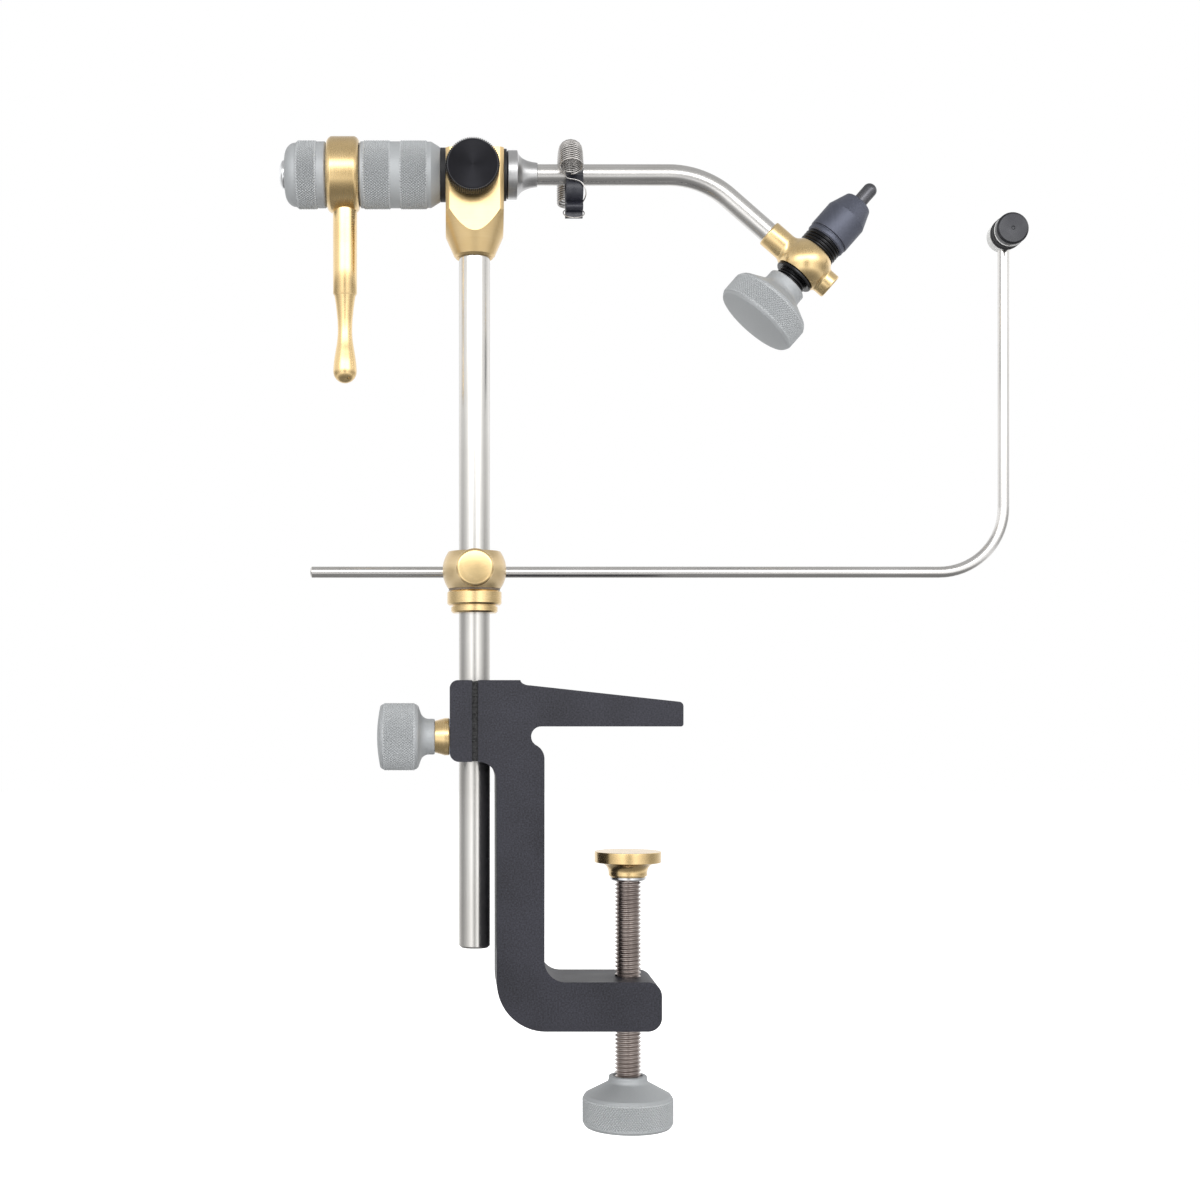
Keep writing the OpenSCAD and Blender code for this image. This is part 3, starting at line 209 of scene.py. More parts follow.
def tent():
    """Grey room that only reflections see, open behind to the white."""
    bm = bmesh.new()
    bmesh.ops.create_uvsphere(bm, u_segments=72, v_segments=90, radius=TENT_R)
    gone = []
    for f in bm.faces:
        d = f.calc_center_median().normalized()
        lift = math.degrees(math.asin(d.z))
        turn = abs(math.degrees(math.atan2(d.x, -d.y)))
        if turn > OPEN_TURN and OPEN_LIFT[0] < lift < OPEN_LIFT[1]:
            gone.append(f)
    bmesh.ops.delete(bm, geom=gone, context="FACES")
    mesh = bpy.data.meshes.new("tent")
    bm.to_mesh(mesh)
    bm.free()
    o = bpy.data.objects.new("tent", mesh)
    bpy.context.collection.objects.link(o)
    o.visible_camera = o.visible_diffuse = o.visible_transmission = o.visible_shadow = False
    mesh.materials.append(tent_glow())
    o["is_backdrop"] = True


SOFT_WORLD, WHITE_WORLD = 0.40, 1.0


def surroundings():
    """World: a soft grey on matt surfaces, white for the camera, reflections and clear plastic."""
    world = bpy.data.worlds.new("world")
    bpy.context.scene.world = world
    world.use_nodes = True
    t = world.node_tree
    t.nodes.clear()
    out = t.nodes.new("ShaderNodeOutputWorld")
    mix = t.nodes.new("ShaderNodeMixShader")
    for socket, strength in ((1, SOFT_WORLD), (2, WHITE_WORLD)):
        sky = t.nodes.new("ShaderNodeBackground")
        sky.inputs["Color"].default_value = (1, 1, 1, 1)
        sky.inputs["Strength"].default_value = strength
        t.links.new(sky.outputs[0], mix.inputs[socket])
    path = t.nodes.new("ShaderNodeLightPath")
    sees_white = path.outputs["Is Camera Ray"]
    for ray in ("Is Glossy Ray", "Is Transmission Ray"):
        either = t.nodes.new("ShaderNodeMath")
        either.operation = "MAXIMUM"
        t.links.new(sees_white, either.inputs[0])
        t.links.new(path.outputs[ray], either.inputs[1])
        sees_white = either.outputs[0]
    t.links.new(sees_white, mix.inputs[0])
    t.links.new(mix.outputs[0], out.inputs[0])


tent()
surroundings()


# Materials

class Nodes:
    """Small helper for a material's node tree."""

    def __init__(self, name):
        self.mat = bpy.data.materials.new(name)
        self.mat.use_nodes = True
        self.tree = self.mat.node_tree
        self.tree.nodes.clear()
        out = self.tree.nodes.new("ShaderNodeOutputMaterial")
        self.bsdf = self.tree.nodes.new("ShaderNodeBsdfPrincipled")
        self.link(self.bsdf.outputs[0], out.inputs["Surface"])
        self.coord = self.tree.nodes.new("ShaderNodeTexCoord")

    def link(self, a, b):
        self.tree.links.new(a, b)

    def into(self, name, output):
        """Joins an output to the named input of the surface."""
        self.link(output, self.bsdf.inputs[name])

    def value(self, name, value):
        self.bsdf.inputs[name].default_value = value

    def mapped(self, scale=(1, 1, 1), place=(0, 0, 0), turn=(0, 0, 0)):
        """The object's own coordinates, scaled, moved and turned."""
        m = self.tree.nodes.new("ShaderNodeMapping")
        m.inputs["Scale"].default_value = scale
        m.inputs["Location"].default_value = place
        m.inputs["Rotation"].default_value = turn
        self.link(self.coord.outputs["Object"], m.inputs["Vector"])
        return m.outputs[0]

    def noise(self, vector, scale, detail, rough):
        """Noise with as many cells to a metre as the scale says."""
        n = self.tree.nodes.new("ShaderNodeTexNoise")
        n.inputs["Scale"].default_value = scale
        n.inputs["Detail"].default_value = detail
        n.inputs["Roughness"].default_value = rough
        self.link(vector, n.inputs["Vector"])
        return n.outputs["Fac"]

    def colour(self, fac, low, dark, high, light):
        """Base colour from dark at the value low to light at the value high."""
        r = self.tree.nodes.new("ShaderNodeValToRGB")
        e = r.color_ramp.elements
        e[0].position, e[0].color = low, (*dark, 1)
        e[1].position, e[1].color = high, (*light, 1)
        self.link(fac, r.inputs[0])
        self.into("Base Color", r.outputs[0])

    def roughness(self, fac, low, high, a=0.3, b=0.7):
        """Roughness from low to high as the given value goes from a to b."""
        m = self.tree.nodes.new("ShaderNodeMapRange")
        m.inputs["From Min"].default_value = a
        m.inputs["From Max"].default_value = b
        m.inputs["To Min"].default_value = low
        m.inputs["To Max"].default_value = high
        self.link(fac, m.inputs["Value"])
        self.into("Roughness", m.outputs[0])

    def mixed(self, a, share_a, b, share_b):
        """Sum of two values, each times its share."""
        parts = []
        for v, share in ((a, share_a), (b, share_b)):
            m = self.tree.nodes.new("ShaderNodeMath")
            m.operation = "MULTIPLY"
            self.link(v, m.inputs[0])
            m.inputs[1].default_value = share
            parts.append(m.outputs[0])
        total = self.tree.nodes.new("ShaderNodeMath")
        total.operation = "ADD"
        self.link(parts[0], total.inputs[0])
        self.link(parts[1], total.inputs[1])
        return total.outputs[0]

    def bump(self, height, depth, strength):
        """Relief of the given depth in mm."""
        b = self.tree.nodes.new("ShaderNodeBump")
        b.inputs["Distance"].default_value = depth * MM
        b.inputs["Strength"].default_value = strength
        self.link(height, b.inputs["Height"])
        self.into("Normal", b.outputs[0])


def by_axis(axis, along, across):
    """Scale with one value along the named axis and another across it."""
    return tuple(along if k == axis else across for k in "xyz")


def turned(name, colour, dark, rough, metallic=1.0, axis="x", marks=0.004, streak=1.0,
           turn=(0, 0, 0)):
    """Turned metal: fine rings round the axis, faint stains and a little uneven polish."""
    n = Nodes(name)
    lines = n.noise(n.mapped(by_axis(axis, 1, 0.02), turn=turn), 5200 * streak, 3.0, 0.65)
    broad = n.noise(n.mapped(), 90, 3.0, 0.55)
    fine = n.noise(n.mapped(), 2600, 2.0, 0.6)
    n.colour(n.mixed(broad, 0.65, lines, 0.35), 0.30, dark, 0.62, colour)
    n.value("Metallic", metallic)
    n.roughness(n.mixed(lines, 0.12, fine, 0.06), max(rough - 0.06, 0.02), rough + 0.08,
                0.04, 0.14)
    n.bump(lines, marks, 0.6)
    if metallic == 1.0:
        # A clear coat, such as the lacquer on brass
        n.value("Coat Weight", 0.5)
        n.value("Coat Roughness", 0.15)
        n.value("Coat IOR", 1.7)
    return n.mat


def blasted(name, colour, dark, rough, metallic, grain=5200, depth=0.02, strength=0.5):
    """Bead-blasted metal: an even fine grain with small bright and dark flecks."""
    n = Nodes(name)
    grit = n.noise(n.mapped(), grain, 2.0, 0.7)
    cloud = n.noise(n.mapped(), 60, 3.0, 0.5)
    n.colour(n.mixed(grit, 0.7, cloud, 0.3), 0.34, dark, 0.66, colour)
    n.value("Metallic", metallic)
    n.roughness(cloud, rough - 0.05, rough + 0.05)
    n.bump(grit, depth, strength)
    return n.mat


def ground(name, colour, dark, rough, along):
    """Ground and polished bar: faint long lines along the bar and a few rings across it."""
    n = Nodes(name)
    lines = n.noise(n.mapped(by_axis(along, 0.02, 1)), 2400, 2.0, 0.5)
    rings = n.noise(n.mapped(by_axis(along, 1, 0.01)), 1500, 3.0, 0.6)
    broad = n.noise(n.mapped(), 40, 2.0, 0.5)
    n.colour(n.mixed(broad, 0.7, lines, 0.3), 0.3, dark, 0.65, colour)
    n.value("Metallic", 1.0)
    n.roughness(rings, rough - 0.02, rough + 0.01)
    n.bump(lines, 0.0003, 0.3)
    return n.mat


def faced(name, colour, dark, rough, centre):
    """Face-turned metal: fine rings about a middle at (x, z), on faces that look along Y."""
    n = Nodes(name)
    far = n.tree.nodes.new("ShaderNodeVectorMath")
    far.operation = "LENGTH"
    n.link(n.mapped((1, 0, 1), place=(-centre[0] * MM, 0, -centre[1] * MM)), far.inputs[0])
    comb = n.tree.nodes.new("ShaderNodeCombineXYZ")
    n.link(far.outputs["Value"], comb.inputs[0])
    rings = n.noise(comb.outputs[0], 6200, 2.0, 0.6)
    cloud = n.noise(n.mapped(), 160, 2.0, 0.5)
    n.colour(cloud, 0.3, dark, 0.7, colour)
    n.value("Metallic", 0.75)
    n.roughness(rings, rough - 0.05, rough + 0.08)
    n.bump(rings, 0.006, 0.6)
    n.value("Anisotropic", 0.85)
    round_axis = n.tree.nodes.new("ShaderNodeTangent")
    round_axis.direction_type = "RADIAL"
    round_axis.axis = "Y"
    n.into("Tangent", round_axis.outputs[0])
    return n.mat


def plastic(name, colour, dark, rough, grain=3000, depth=0.01, sheen=0.5):
    """Plastic or rubber: broad soft patches and a fine grain."""
    n = Nodes(name)
    grit = n.noise(n.mapped(), grain, 2.0, 0.6)
    cloud = n.noise(n.mapped(), 120, 3.0, 0.5)
    n.colour(cloud, 0.32, dark, 0.68, colour)
    n.value("Metallic", 0.0)
    n.value("Specular IOR Level", sheen)
    n.roughness(grit, rough - 0.05, rough + 0.07)
    n.bump(grit, depth, 0.5)
    return n.mat


GOLD = ((0.89, 0.66, 0.33), (0.80, 0.56, 0.25))
gold_x = turned("gold_x", *GOLD, 0.27, axis="x", marks=0.001)
gold_y = turned("gold_y", *GOLD, 0.22, axis="y")
gold_z = turned("gold_z", *GOLD, 0.25, axis="z", marks=0.0008)
gold_matt = turned("gold_matt", (0.84, 0.66, 0.38), (0.72, 0.53, 0.28), 0.42, axis="z",
                   marks=0.003)
gold_block = turned("gold_block", *GOLD, 0.32, axis="z", marks=0.002, streak=0.7)
gold_jaw = turned("gold_jaw", *GOLD, 0.25, axis="x", marks=0.0012, turn=(0, -BEND, 0))
grey = blasted("grey_blasted", (0.43, 0.445, 0.455), (0.37, 0.385, 0.395), 0.55, 0.35,
               depth=0.008)
grey_knurl = blasted("grey_knurl", (0.48, 0.496, 0.505), (0.425, 0.44, 0.45), 0.58, 0.30,
                     grain=4200, depth=0.004)
charcoal = blasted("charcoal", (0.034, 0.034, 0.047), (0.005, 0.005, 0.008), 0.50, 0.20,
                   grain=2000, depth=0.03)
steel_z = ground("steel_z", (0.73, 0.715, 0.69), (0.61, 0.59, 0.56), 0.24, "z")
steel_x = ground("steel_x", (0.80, 0.785, 0.77), (0.68, 0.665, 0.64), 0.24, "x")
bright = turned("bright_x", (0.86, 0.87, 0.88), (0.76, 0.77, 0.79), 0.12, axis="x")
satin = turned("satin_x", (0.62, 0.62, 0.625), (0.50, 0.495, 0.49), 0.34, axis="x", marks=0.006)
bright_z = turned("bright_z", (0.84, 0.85, 0.86), (0.70, 0.71, 0.73), 0.18, axis="z")
thread_steel = turned("thread_steel", (0.50, 0.44, 0.41), (0.30, 0.25, 0.23), 0.30, axis="z")
dark_steel = turned("dark_steel", (0.30, 0.29, 0.29), (0.18, 0.17, 0.17), 0.32, axis="y")
slate = turned("slate", (0.120, 0.128, 0.165), (0.085, 0.092, 0.120), 0.44, 0.70, axis="x",
               marks=0.003, turn=(0, -BEND + math.radians(90), 0))
jaw_steel = turned("jaw_steel", (0.17, 0.17, 0.185), (0.10, 0.10, 0.11), 0.34, 0.9, axis="y",
                   marks=0.002)
black_thread = turned("black_thread", (0.030, 0.030, 0.032), (0.012, 0.012, 0.013), 0.24, 0.8,
                      axis="y")
black_turned = turned("black_turned", (0.050, 0.051, 0.055), (0.022, 0.022, 0.026), 0.26, 0.7,
                      axis="y")
black_faced = faced("black_faced", (0.009, 0.009, 0.012), (0.005, 0.005, 0.007), 0.38,
                    (DRAG_X, DRAG_Z))
slit_dark = blasted("slit_dark", (0.050, 0.050, 0.052), (0.002, 0.002, 0.002), 0.60, 0.2,
                  grain=1500, depth=0.10, strength=1.0)
black_plastic = plastic("black_plastic", (0.016, 0.016, 0.018), (0.008, 0.008, 0.009), 0.50)
clip_black = plastic("clip_black", (0.022, 0.023, 0.033), (0.013, 0.014, 0.020), 0.32,
                     sheen=0.55)
rubber = plastic("rubber", (0.022, 0.022, 0.024), (0.010, 0.010, 0.011), 0.62, 1800, 0.03, 0.35)
clear = plastic("milky", (0.80, 0.80, 0.78), (0.66, 0.67, 0.66), 0.22, 900, 0.01, 0.6)
# Painted shade: the cradle washer is coloured dark brown for the shadow under the cradle body
washer_shade_brown = plastic("washer_shade_brown", (0.22, 0.17, 0.12), (0.12, 0.09, 0.06), 0.40)
bronze = turned("bronze", (0.62, 0.42, 0.22), (0.42, 0.27, 0.14), 0.34, axis="x")
spring_wire = turned("spring_wire", (0.72, 0.70, 0.68), (0.50, 0.46, 0.43), 0.24, axis="x")


def paint_groove_shade(mat, reach, power):
    """Paints shade into the base colour at the bottoms of grooves, where ambient occlusion darkens
    it.
    """
    t = mat.node_tree
    bsdf = next(n for n in t.nodes if n.type == "BSDF_PRINCIPLED")
    source = bsdf.inputs["Base Color"].links[0].from_socket
    near = t.nodes.new("ShaderNodeAmbientOcclusion")
    near.samples = 8
    near.inputs["Distance"].default_value = reach * MM
    bend = t.nodes.new("ShaderNodeMath")
    bend.operation = "POWER"
    bend.inputs[1].default_value = power
    mix = t.nodes.new("ShaderNodeMix")
    mix.data_type = "RGBA"
    mix.blend_type = "MULTIPLY"
    mix.inputs["Factor"].default_value = 1.0
    t.links.new(near.outputs["AO"], bend.inputs[0])
    t.links.new(source, mix.inputs["A"])
    t.links.new(bend.outputs[0], mix.inputs["B"])
    t.links.new(mix.outputs["Result"], bsdf.inputs["Base Color"])


# Painted shade in the grooves of the knurls, the spring's coils, the drag rim's teeth and the
# rod's end cap
paint_groove_shade(grey_knurl, 0.4, 0.45)
paint_groove_shade(spring_wire, 0.8, 2.2)
paint_groove_shade(black_turned, 0.5, 0.8)

# The solids that are shown as they are
for mat, names in (
        (charcoal, ("clamp_frame",)),
        (steel_z, ("stem_post",)),
        (steel_x, ("rotary_shaft", "cradle_rod")),
        (gold_block, ("head_block",)),
        (bronze, ("head_bushing_left", "head_bushing_right")),
        (dark_steel, ("head_grub", "drag_screw", "stem_lock_screw", "collar_grub", "draw_bar")),
        (black_plastic, ("thrust_washer_left", "thrust_washer_right")),
        (clear, ("drag_plug", "cradle_hub", "cradle_spacer")),
        (bright_z, ("pad_washer",)),
        (black_thread, ("barrel_lock_ring",)),
        (jaw_steel, ("collet_jaws",)),
        (washer_shade_brown, ("cradle_washer",)),
        (gold_matt, ("cradle_body",)),
        (gold_z, ("cradle_collar",)),
        (gold_x, ("stem_lock_washer",))):
    for name in names:
        for s in nodes[name].material_slots:
            s.link = "OBJECT"
            s.material = mat


# Mesh helpers. A profile is a list of (radius, height, round) points in mm: a round above 0 is
# the corner's radius, 0 is a sharp corner, and -1 is a point of a smooth curve.

STRAIGHT = 3.05  # corners wider than this, in radians, get no round
MOST = 0.49  # part of a side that a round may take


def fillet(points, segs):
    """Rounds a profile's corners. Gives (radius, height, sharp) points."""
    out = []
    for i, (r, z, f) in enumerate(points):
        p = Vector((r, z))
        if f <= 0 or i in (0, len(points) - 1):
            out.append((r, z, f == 0))
            continue
        a = Vector(points[i - 1][:2]) - p
        b = Vector(points[i + 1][:2]) - p
        la, lb = a.length, b.length
        a.normalize()
        b.normalize()
        ang = math.acos(max(-1, min(1, a.dot(b))))
        if ang > STRAIGHT:
            out.append((r, z, False))
            continue
        reach = min(f / math.tan(ang / 2), la * MOST, lb * MOST)
        rad = reach * math.tan(ang / 2)
        centre = p + (a + b).normalized() * rad / math.sin(ang / 2)
        s = p + a * reach - centre
        e = p + b * reach - centre
        t0, t1 = math.atan2(s.y, s.x), math.atan2(e.y, e.x)
        d = (t1 - t0 + math.pi) % (2 * math.pi) - math.pi
        for k in range(segs + 1):
            t = t0 + d * k / segs
            out.append((centre.x + rad * math.cos(t), centre.y + rad * math.sin(t), False))
    return out


def bow(r, z, wide, high, angles):
    """Smooth profile points on an ellipse about (r, z), at the given angles in degrees."""
    return [(r + wide * math.cos(math.radians(a)), z + high * math.sin(math.radians(a)), -1)
            for a in angles]


def spline(ps, steps=5):
    """Catmull-Rom curve through points of any number of values."""
    out = []
    for i in range(len(ps) - 1):
        four = ps[max(i - 1, 0)], ps[i], ps[i + 1], ps[min(i + 2, len(ps) - 1)]
        for k in range(steps):
            t = k / steps
            out.append(tuple(0.5 * (2 * b + (c - a) * t + (2 * a - 5 * b + 4 * c - d) * t * t
                                    + (3 * b - a - 3 * c + d) * t ** 3)
                             for a, b, c, d in zip(*four)))
    return out + [ps[-1]]


def circle(bm, r, z, n):
    """Ring of new vertices about Z."""
    return [bm.verts.new((r * math.cos(2 * math.pi * i / n), r * math.sin(2 * math.pi * i / n), z))
            for i in range(n)]


def bridge(bm, a, b):
    """Faces between two rings of as many vertices."""
    for i in range(len(a)):
        k = (i + 1) % len(a)
        bm.faces.new((a[i], a[k], b[k], b[i]))


def tube(bm, rings, closed=False):
    """Skin over a row of rings, which ends in two caps or in itself."""
    for a, b in zip(rings, rings[1:]):
        bridge(bm, a, b)
    if closed:
        bridge(bm, rings[-1], rings[0])
    else:
        bm.faces.new(list(reversed(rings[0])))
        bm.faces.new(rings[-1])
    bmesh.ops.recalc_face_normals(bm, faces=bm.faces)


def crease(bm, degrees):
    """Keeps the edges sharp that bend by more than the given angle."""
    for e in bm.edges:
        if len(e.link_faces) == 2 and e.calc_face_angle(0) > math.radians(degrees):
            e.smooth = False


def finish_mesh(bm, name, matrix, mat, body, stands_for=(), smooth=True):
    """Object from a mesh in mm, on its body and slot, in place of the solids it stands for."""
    mesh = bpy.data.meshes.new(name)
    bmesh.ops.transform(bm, matrix=Matrix.Scale(MM, 4) @ matrix, verts=bm.verts)
    bm.to_mesh(mesh)
    bm.free()
    for p in mesh.polygons:
        p.use_smooth = smooth
    o = bpy.data.objects.new(name, mesh)
    bpy.context.collection.objects.link(o)
    o.data.materials.append(mat)
    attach(o, body)
    if stands_for:
        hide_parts(*stands_for)


def revolve(profile, n, segs):
    """Mesh of revolution about Z. A profile that starts off the axis closes on itself."""
    pts = fillet(profile, segs)
    bm = bmesh.new()
    rings = [circle(bm, r, z, 1 if r < 1e-6 else n) for r, z, _ in pts]
    pairs = list(zip(rings, rings[1:]))
    if len(rings[0]) > 1:
        pairs.append((rings[-1], rings[0]))
    for a, b in pairs:
        if len(a) == len(b):
            bridge(bm, a, b)
            continue
        for i in range(n):
            k = (i + 1) % n
            bm.faces.new((a[0], b[k], b[i]) if len(a) == 1 else (a[i], a[k], b[0]))
    bmesh.ops.recalc_face_normals(bm, faces=bm.faces)
    return bm, rings, pts


def lathe(name, profile, matrix, mat, body, stands_for, n=96, segs=5):
    """Turned piece, drawn as a profile about Z."""
    bm, rings, pts = revolve(profile, n, segs)
    for ring, (r, _, sharp) in zip(rings, pts):
        if sharp and r > 1e-6:
            for i in range(n):
                e = bm.edges.get((ring[i], ring[(i + 1) % n]))
                if e:
                    e.smooth = False
    finish_mesh(bm, name, matrix, mat, body, stands_for)


def knurl(name, z0, z1, root, top, teeth, rows, matrix, mat, body):
    """Diamond knurl from z0 to z1: crossing grooves leave one pyramid to a diamond.

    root and top are the radii of the grooves and the peaks. There are teeth peaks round it
    and rows of half diamonds along it.
    """
    bm = bmesh.new()
    vs = {}
    cols = 2 * teeth
    for j in range(rows + 1):
        z = z0 + (z1 - z0) * j / rows
        for i in range(cols):
            peak = (i + j) % 2 == 1
            if peak and j in (0, rows):
                continue
            r = top if peak else root
            t = 2 * math.pi * i / cols
            vs[i, j] = bm.verts.new((r * math.cos(t), r * math.sin(t), z))
    for j in range(rows + 1):
        for i in range(cols):
            if (i + j) % 2 == 0:
                continue
            left, right = vs[(i - 1) % cols, j], vs[(i + 1) % cols, j]
            if j == 0:
                bm.faces.new((left, right, vs[i, 1]))
            elif j == rows:
                bm.faces.new((left, vs[i, rows - 1], right))
            else:
                c, up, down = vs[i, j], vs[i, j + 1], vs[i, j - 1]
                for a, b in ((down, right), (right, up), (up, left), (left, down)):
                    bm.faces.new((c, a, b))
    bmesh.ops.recalc_face_normals(bm, faces=bm.faces)
    # The shell's two ends turn in under the plain surface
    sunk = root - 0.3
    for j, dz in ((0, -0.02), (rows, 0.02)):
        ring = [vs[i, j] for i in range(cols) if (i + j) % 2 == 0]
        low = [bm.verts.new((v.co.x * sunk / root, v.co.y * sunk / root, v.co.z + dz))
               for v in ring]
        bridge(bm, *((ring, low) if j else (low, ring)))
    finish_mesh(bm, name, matrix, mat, body, smooth=False)


# Outline of one turn of a thread: (part of the pitch, part of the height)
RIDGE = ((0.0, 0.0), (0.12, 0.0), (0.46, 1.0), (0.60, 1.0), (0.94, 0.0))
RUN_OUT = 0.6  # part of a pitch over which a thread's end fades


def thread(name, z0, z1, root, top, pitch, matrix, mat, body, stands_for=()):
    """Real screw thread from z0 to z1: a V ridge wound on a core, run out at both ends."""
    n = 48
    bm = bmesh.new()
    grid = []
    for turn in range(-1, int((z1 - z0) / pitch) + 2):
        for part, height in RIDGE:
            ring = []
            for i in range(n + 1):
                z = z0 + pitch * (turn + part + i / n)
                fade = min(1.0, (z - z0) / (RUN_OUT * pitch), (z1 - z) / (RUN_OUT * pitch))
                r = root + (top - root) * height * max(0.0, fade)
                t = 2 * math.pi * i / n
                ring.append(bm.verts.new((r * math.cos(t), r * math.sin(t),
                                          max(z0, min(z1, z)))))
            grid.append(ring)
    for a, b in zip(grid, grid[1:]):
        rise = [abs(p.co.z - q.co.z) for p, q in zip(a, b)]
        for i in range(n):
            if max(rise[i], rise[i + 1]) >= 1e-9:
                bm.faces.new((a[i], a[i + 1], b[i + 1], b[i]))
    for z, up in ((z0, False), (z1, True)):
        c = bm.verts.new((0, 0, z))
        ring = circle(bm, root, z, n)
        for i in range(n):
            f = (c, ring[i], ring[(i + 1) % n])
            bm.faces.new(f if up else tuple(reversed(f)))
    bmesh.ops.remove_doubles(bm, verts=bm.verts, dist=1e-4)
    bmesh.ops.recalc_face_normals(bm, faces=bm.faces)
    crease(bm, 35)
    finish_mesh(bm, name, matrix, mat, body, stands_for)


def wire(name, line, radius, mat, body, stands_for=(), sides=8, closed=False):
    """Round wire along a line of points in mm, in the row frame."""
    bm = bmesh.new()
    pts = [Vector(p) for p in line]
    n = len(pts)
    side = None
    rings = []
    for i in range(n):
        after = pts[(i + 1) % n if closed else min(i + 1, n - 1)]
        before = pts[i - 1 if closed else max(i - 1, 0)]
        t = (after - before).normalized()
        if side is None:
            side = t.orthogonal().normalized()
        side = (side - t * side.dot(t)).normalized()
        up = t.cross(side)
        around = [2 * math.pi * k / sides for k in range(sides)]
        rings.append([bm.verts.new(pts[i] + radius * (side * math.cos(a) + up * math.sin(a)))
                      for a in around])
    tube(bm, rings, closed)
    finish_mesh(bm, name, HERE, mat, body, stands_for)


def spin_knob(label, node, place, d, neck_d, drop, width, rise, sweep, body, teeth, rows):
    """Knurled knob: neck's face at z = 0, swept neck, cone shoulder, knurl and a low dome.

    The shoulder ends at drop below the neck's face, and the knurl is as wide as width. rise is
    the height of the shoulder's cone, and sweep the round between it and the neck.
    """
    r, nr = d / 2, neck_d / 2
    bevel, lip, groove, edge = 0.9, 0.30, 0.50, 0.15
    low = -drop - width
    cone_z = -drop + bevel
    dome = [((r - bevel) * i / 10, low - bevel - (1 - (i / 10) ** 2), -1)
            for i in range(9, -1, -1)]
    lathe(label + "_turned", [
        (0, -0.6, 0), (nr - 1.5, -0.6, 0.1), (nr - 1.3, 0, 0.15), (nr, 0, 0.5),
        (nr, cone_z + rise, sweep), (r - bevel, cone_z, 0.3), (r - lip, -drop + 0.12, 0.2),
        (r - groove, -drop - edge, -1), (r - groove, low + edge, -1),
        (r - lip, low - 0.12, 0.2), (r - bevel, low - bevel, 0.35)] + dome,
        place, grey, body, (node,), segs=10)
    knurl(label + "_knurl", low, -drop, r - 0.32, r, teeth, rows, place, grey_knurl, body)


# Clamp: slit, knobs, screw and pad

SLIT_LOW, SLIT_HIGH = -10.45, 13.6
SLIT_HALF = 0.86
SLIT_Y = -12.35
SLIT_DEEP = 0.18


def slit_dark_strip():
    """Rough dark strip set in the slit, just behind the front face, beside the screw."""
    bm = bmesh.new()
    steps = 60
    outline = ((-SLIT_HALF, 0), (0, -0.04), (SLIT_HALF, 0), (SLIT_HALF, SLIT_DEEP),
               (-SLIT_HALF, SLIT_DEEP))
    rings = []
    for i in range(steps + 1):
        z = SLIT_LOW + (SLIT_HIGH - SLIT_LOW) * i / steps
        y = SLIT_Y + 0.05 * math.sin(i * 2.4) + 0.03 * math.sin(i * 5.9)
        rings.append([bm.verts.new((STEM_X + x, y + dy, z)) for x, dy in outline])
    tube(bm, rings)
    finish_mesh(bm, "slit_dark_strip", HERE, slit_dark, "base", smooth=False)


slit_dark_strip()
CLAMP_TOP = -107.1
spin_knob("clamp_knob", "clamp_knob", Matrix.Translation((0, 0, CLAMP_TOP)), d=27.9,
          neck_d=11.8, drop=6.7, width=8.0, rise=3.9, sweep=1.6, body="clamp_screw",
          teeth=98, rows=15)
thread("clamp_thread", -117.4, -41.04, 3.35, 3.99, 1.25, HERE, thread_steel, "clamp_screw",
       ("clamp_screw",))

PAD_TOP, PAD_UNDER, PAD_LOW = -38.4, -41.75, -45.9
PAD_NECK, PAD_COVE = 5.9, 3.3
profile = [(0, PAD_TOP, 0), (9.8, PAD_TOP, 0), (10.2, PAD_TOP, 0.35), (10.2, -41.7, 0.4),
           (9.95, PAD_UNDER, 0.2)]
profile += bow(PAD_NECK + PAD_COVE, PAD_UNDER - PAD_COVE, PAD_COVE, PAD_COVE,
               range(90, 181, 6))
profile += [(PAD_NECK, PAD_LOW, 0.3), (4.05, PAD_LOW, 0.2), (4.05, -41.0, 0), (0, -41.0, 0)]
lathe("clamp_pad_turned", profile, HERE, gold_z, "pad", ("clamp_pad",))

LOCK = Matrix.Translation((-59.18, -9.1, -3.1)) @ TO_X
spin_knob("lock_knob", "stem_lock_knob", LOCK, d=20.4, neck_d=10.8, drop=5.9, width=9.6,
          rise=1.4, sweep=3.0, body="lock_knob", teeth=72, rows=19)
BARREL_LOW = -7.9
spin_knob("jaw_knob", "jaw_knob", JAW @ Matrix.Translation((0, 0, BARREL_LOW - GAP)), d=26.9,
          neck_d=12.7, drop=8.0, width=6.6, rise=3.6, sweep=2.4, body="jaw_knob", teeth=94,
          rows=13)


# Rotary head: the crank's pieces follow each other to the left from the head block

WASHER, SLEEVE, RING, CAP = 1.6, 24.7, 9.8, 12.7
SEAM = 0.15
HEAD_L = STEM_X - 8.8
WASH_L = HEAD_L - GAP - WASHER
SLEEVE_L = WASH_L - GAP - SLEEVE
RING_R = SLEEVE_L - SEAM
RING_L = RING_R - RING
CAP_L = RING_L - SEAM - CAP
BORE = 3.22
GROOVE = 9.68  # radius of the plain metal under a knurl


def along_x(x0):
    """Place on the rotary axis, with a profile's Z along +X from x0."""
    return AXIS @ Matrix.Translation((x0, 0, 0)) @ TO_X


def crank_knurl(name, z0, z1, rows, x0):
    """Knurled band from z0 to z1 on the piece that starts at x0."""
    knurl(name, z0, z1, 9.80, 10.2, 74, rows, along_x(x0), grey_knurl, "rotary")


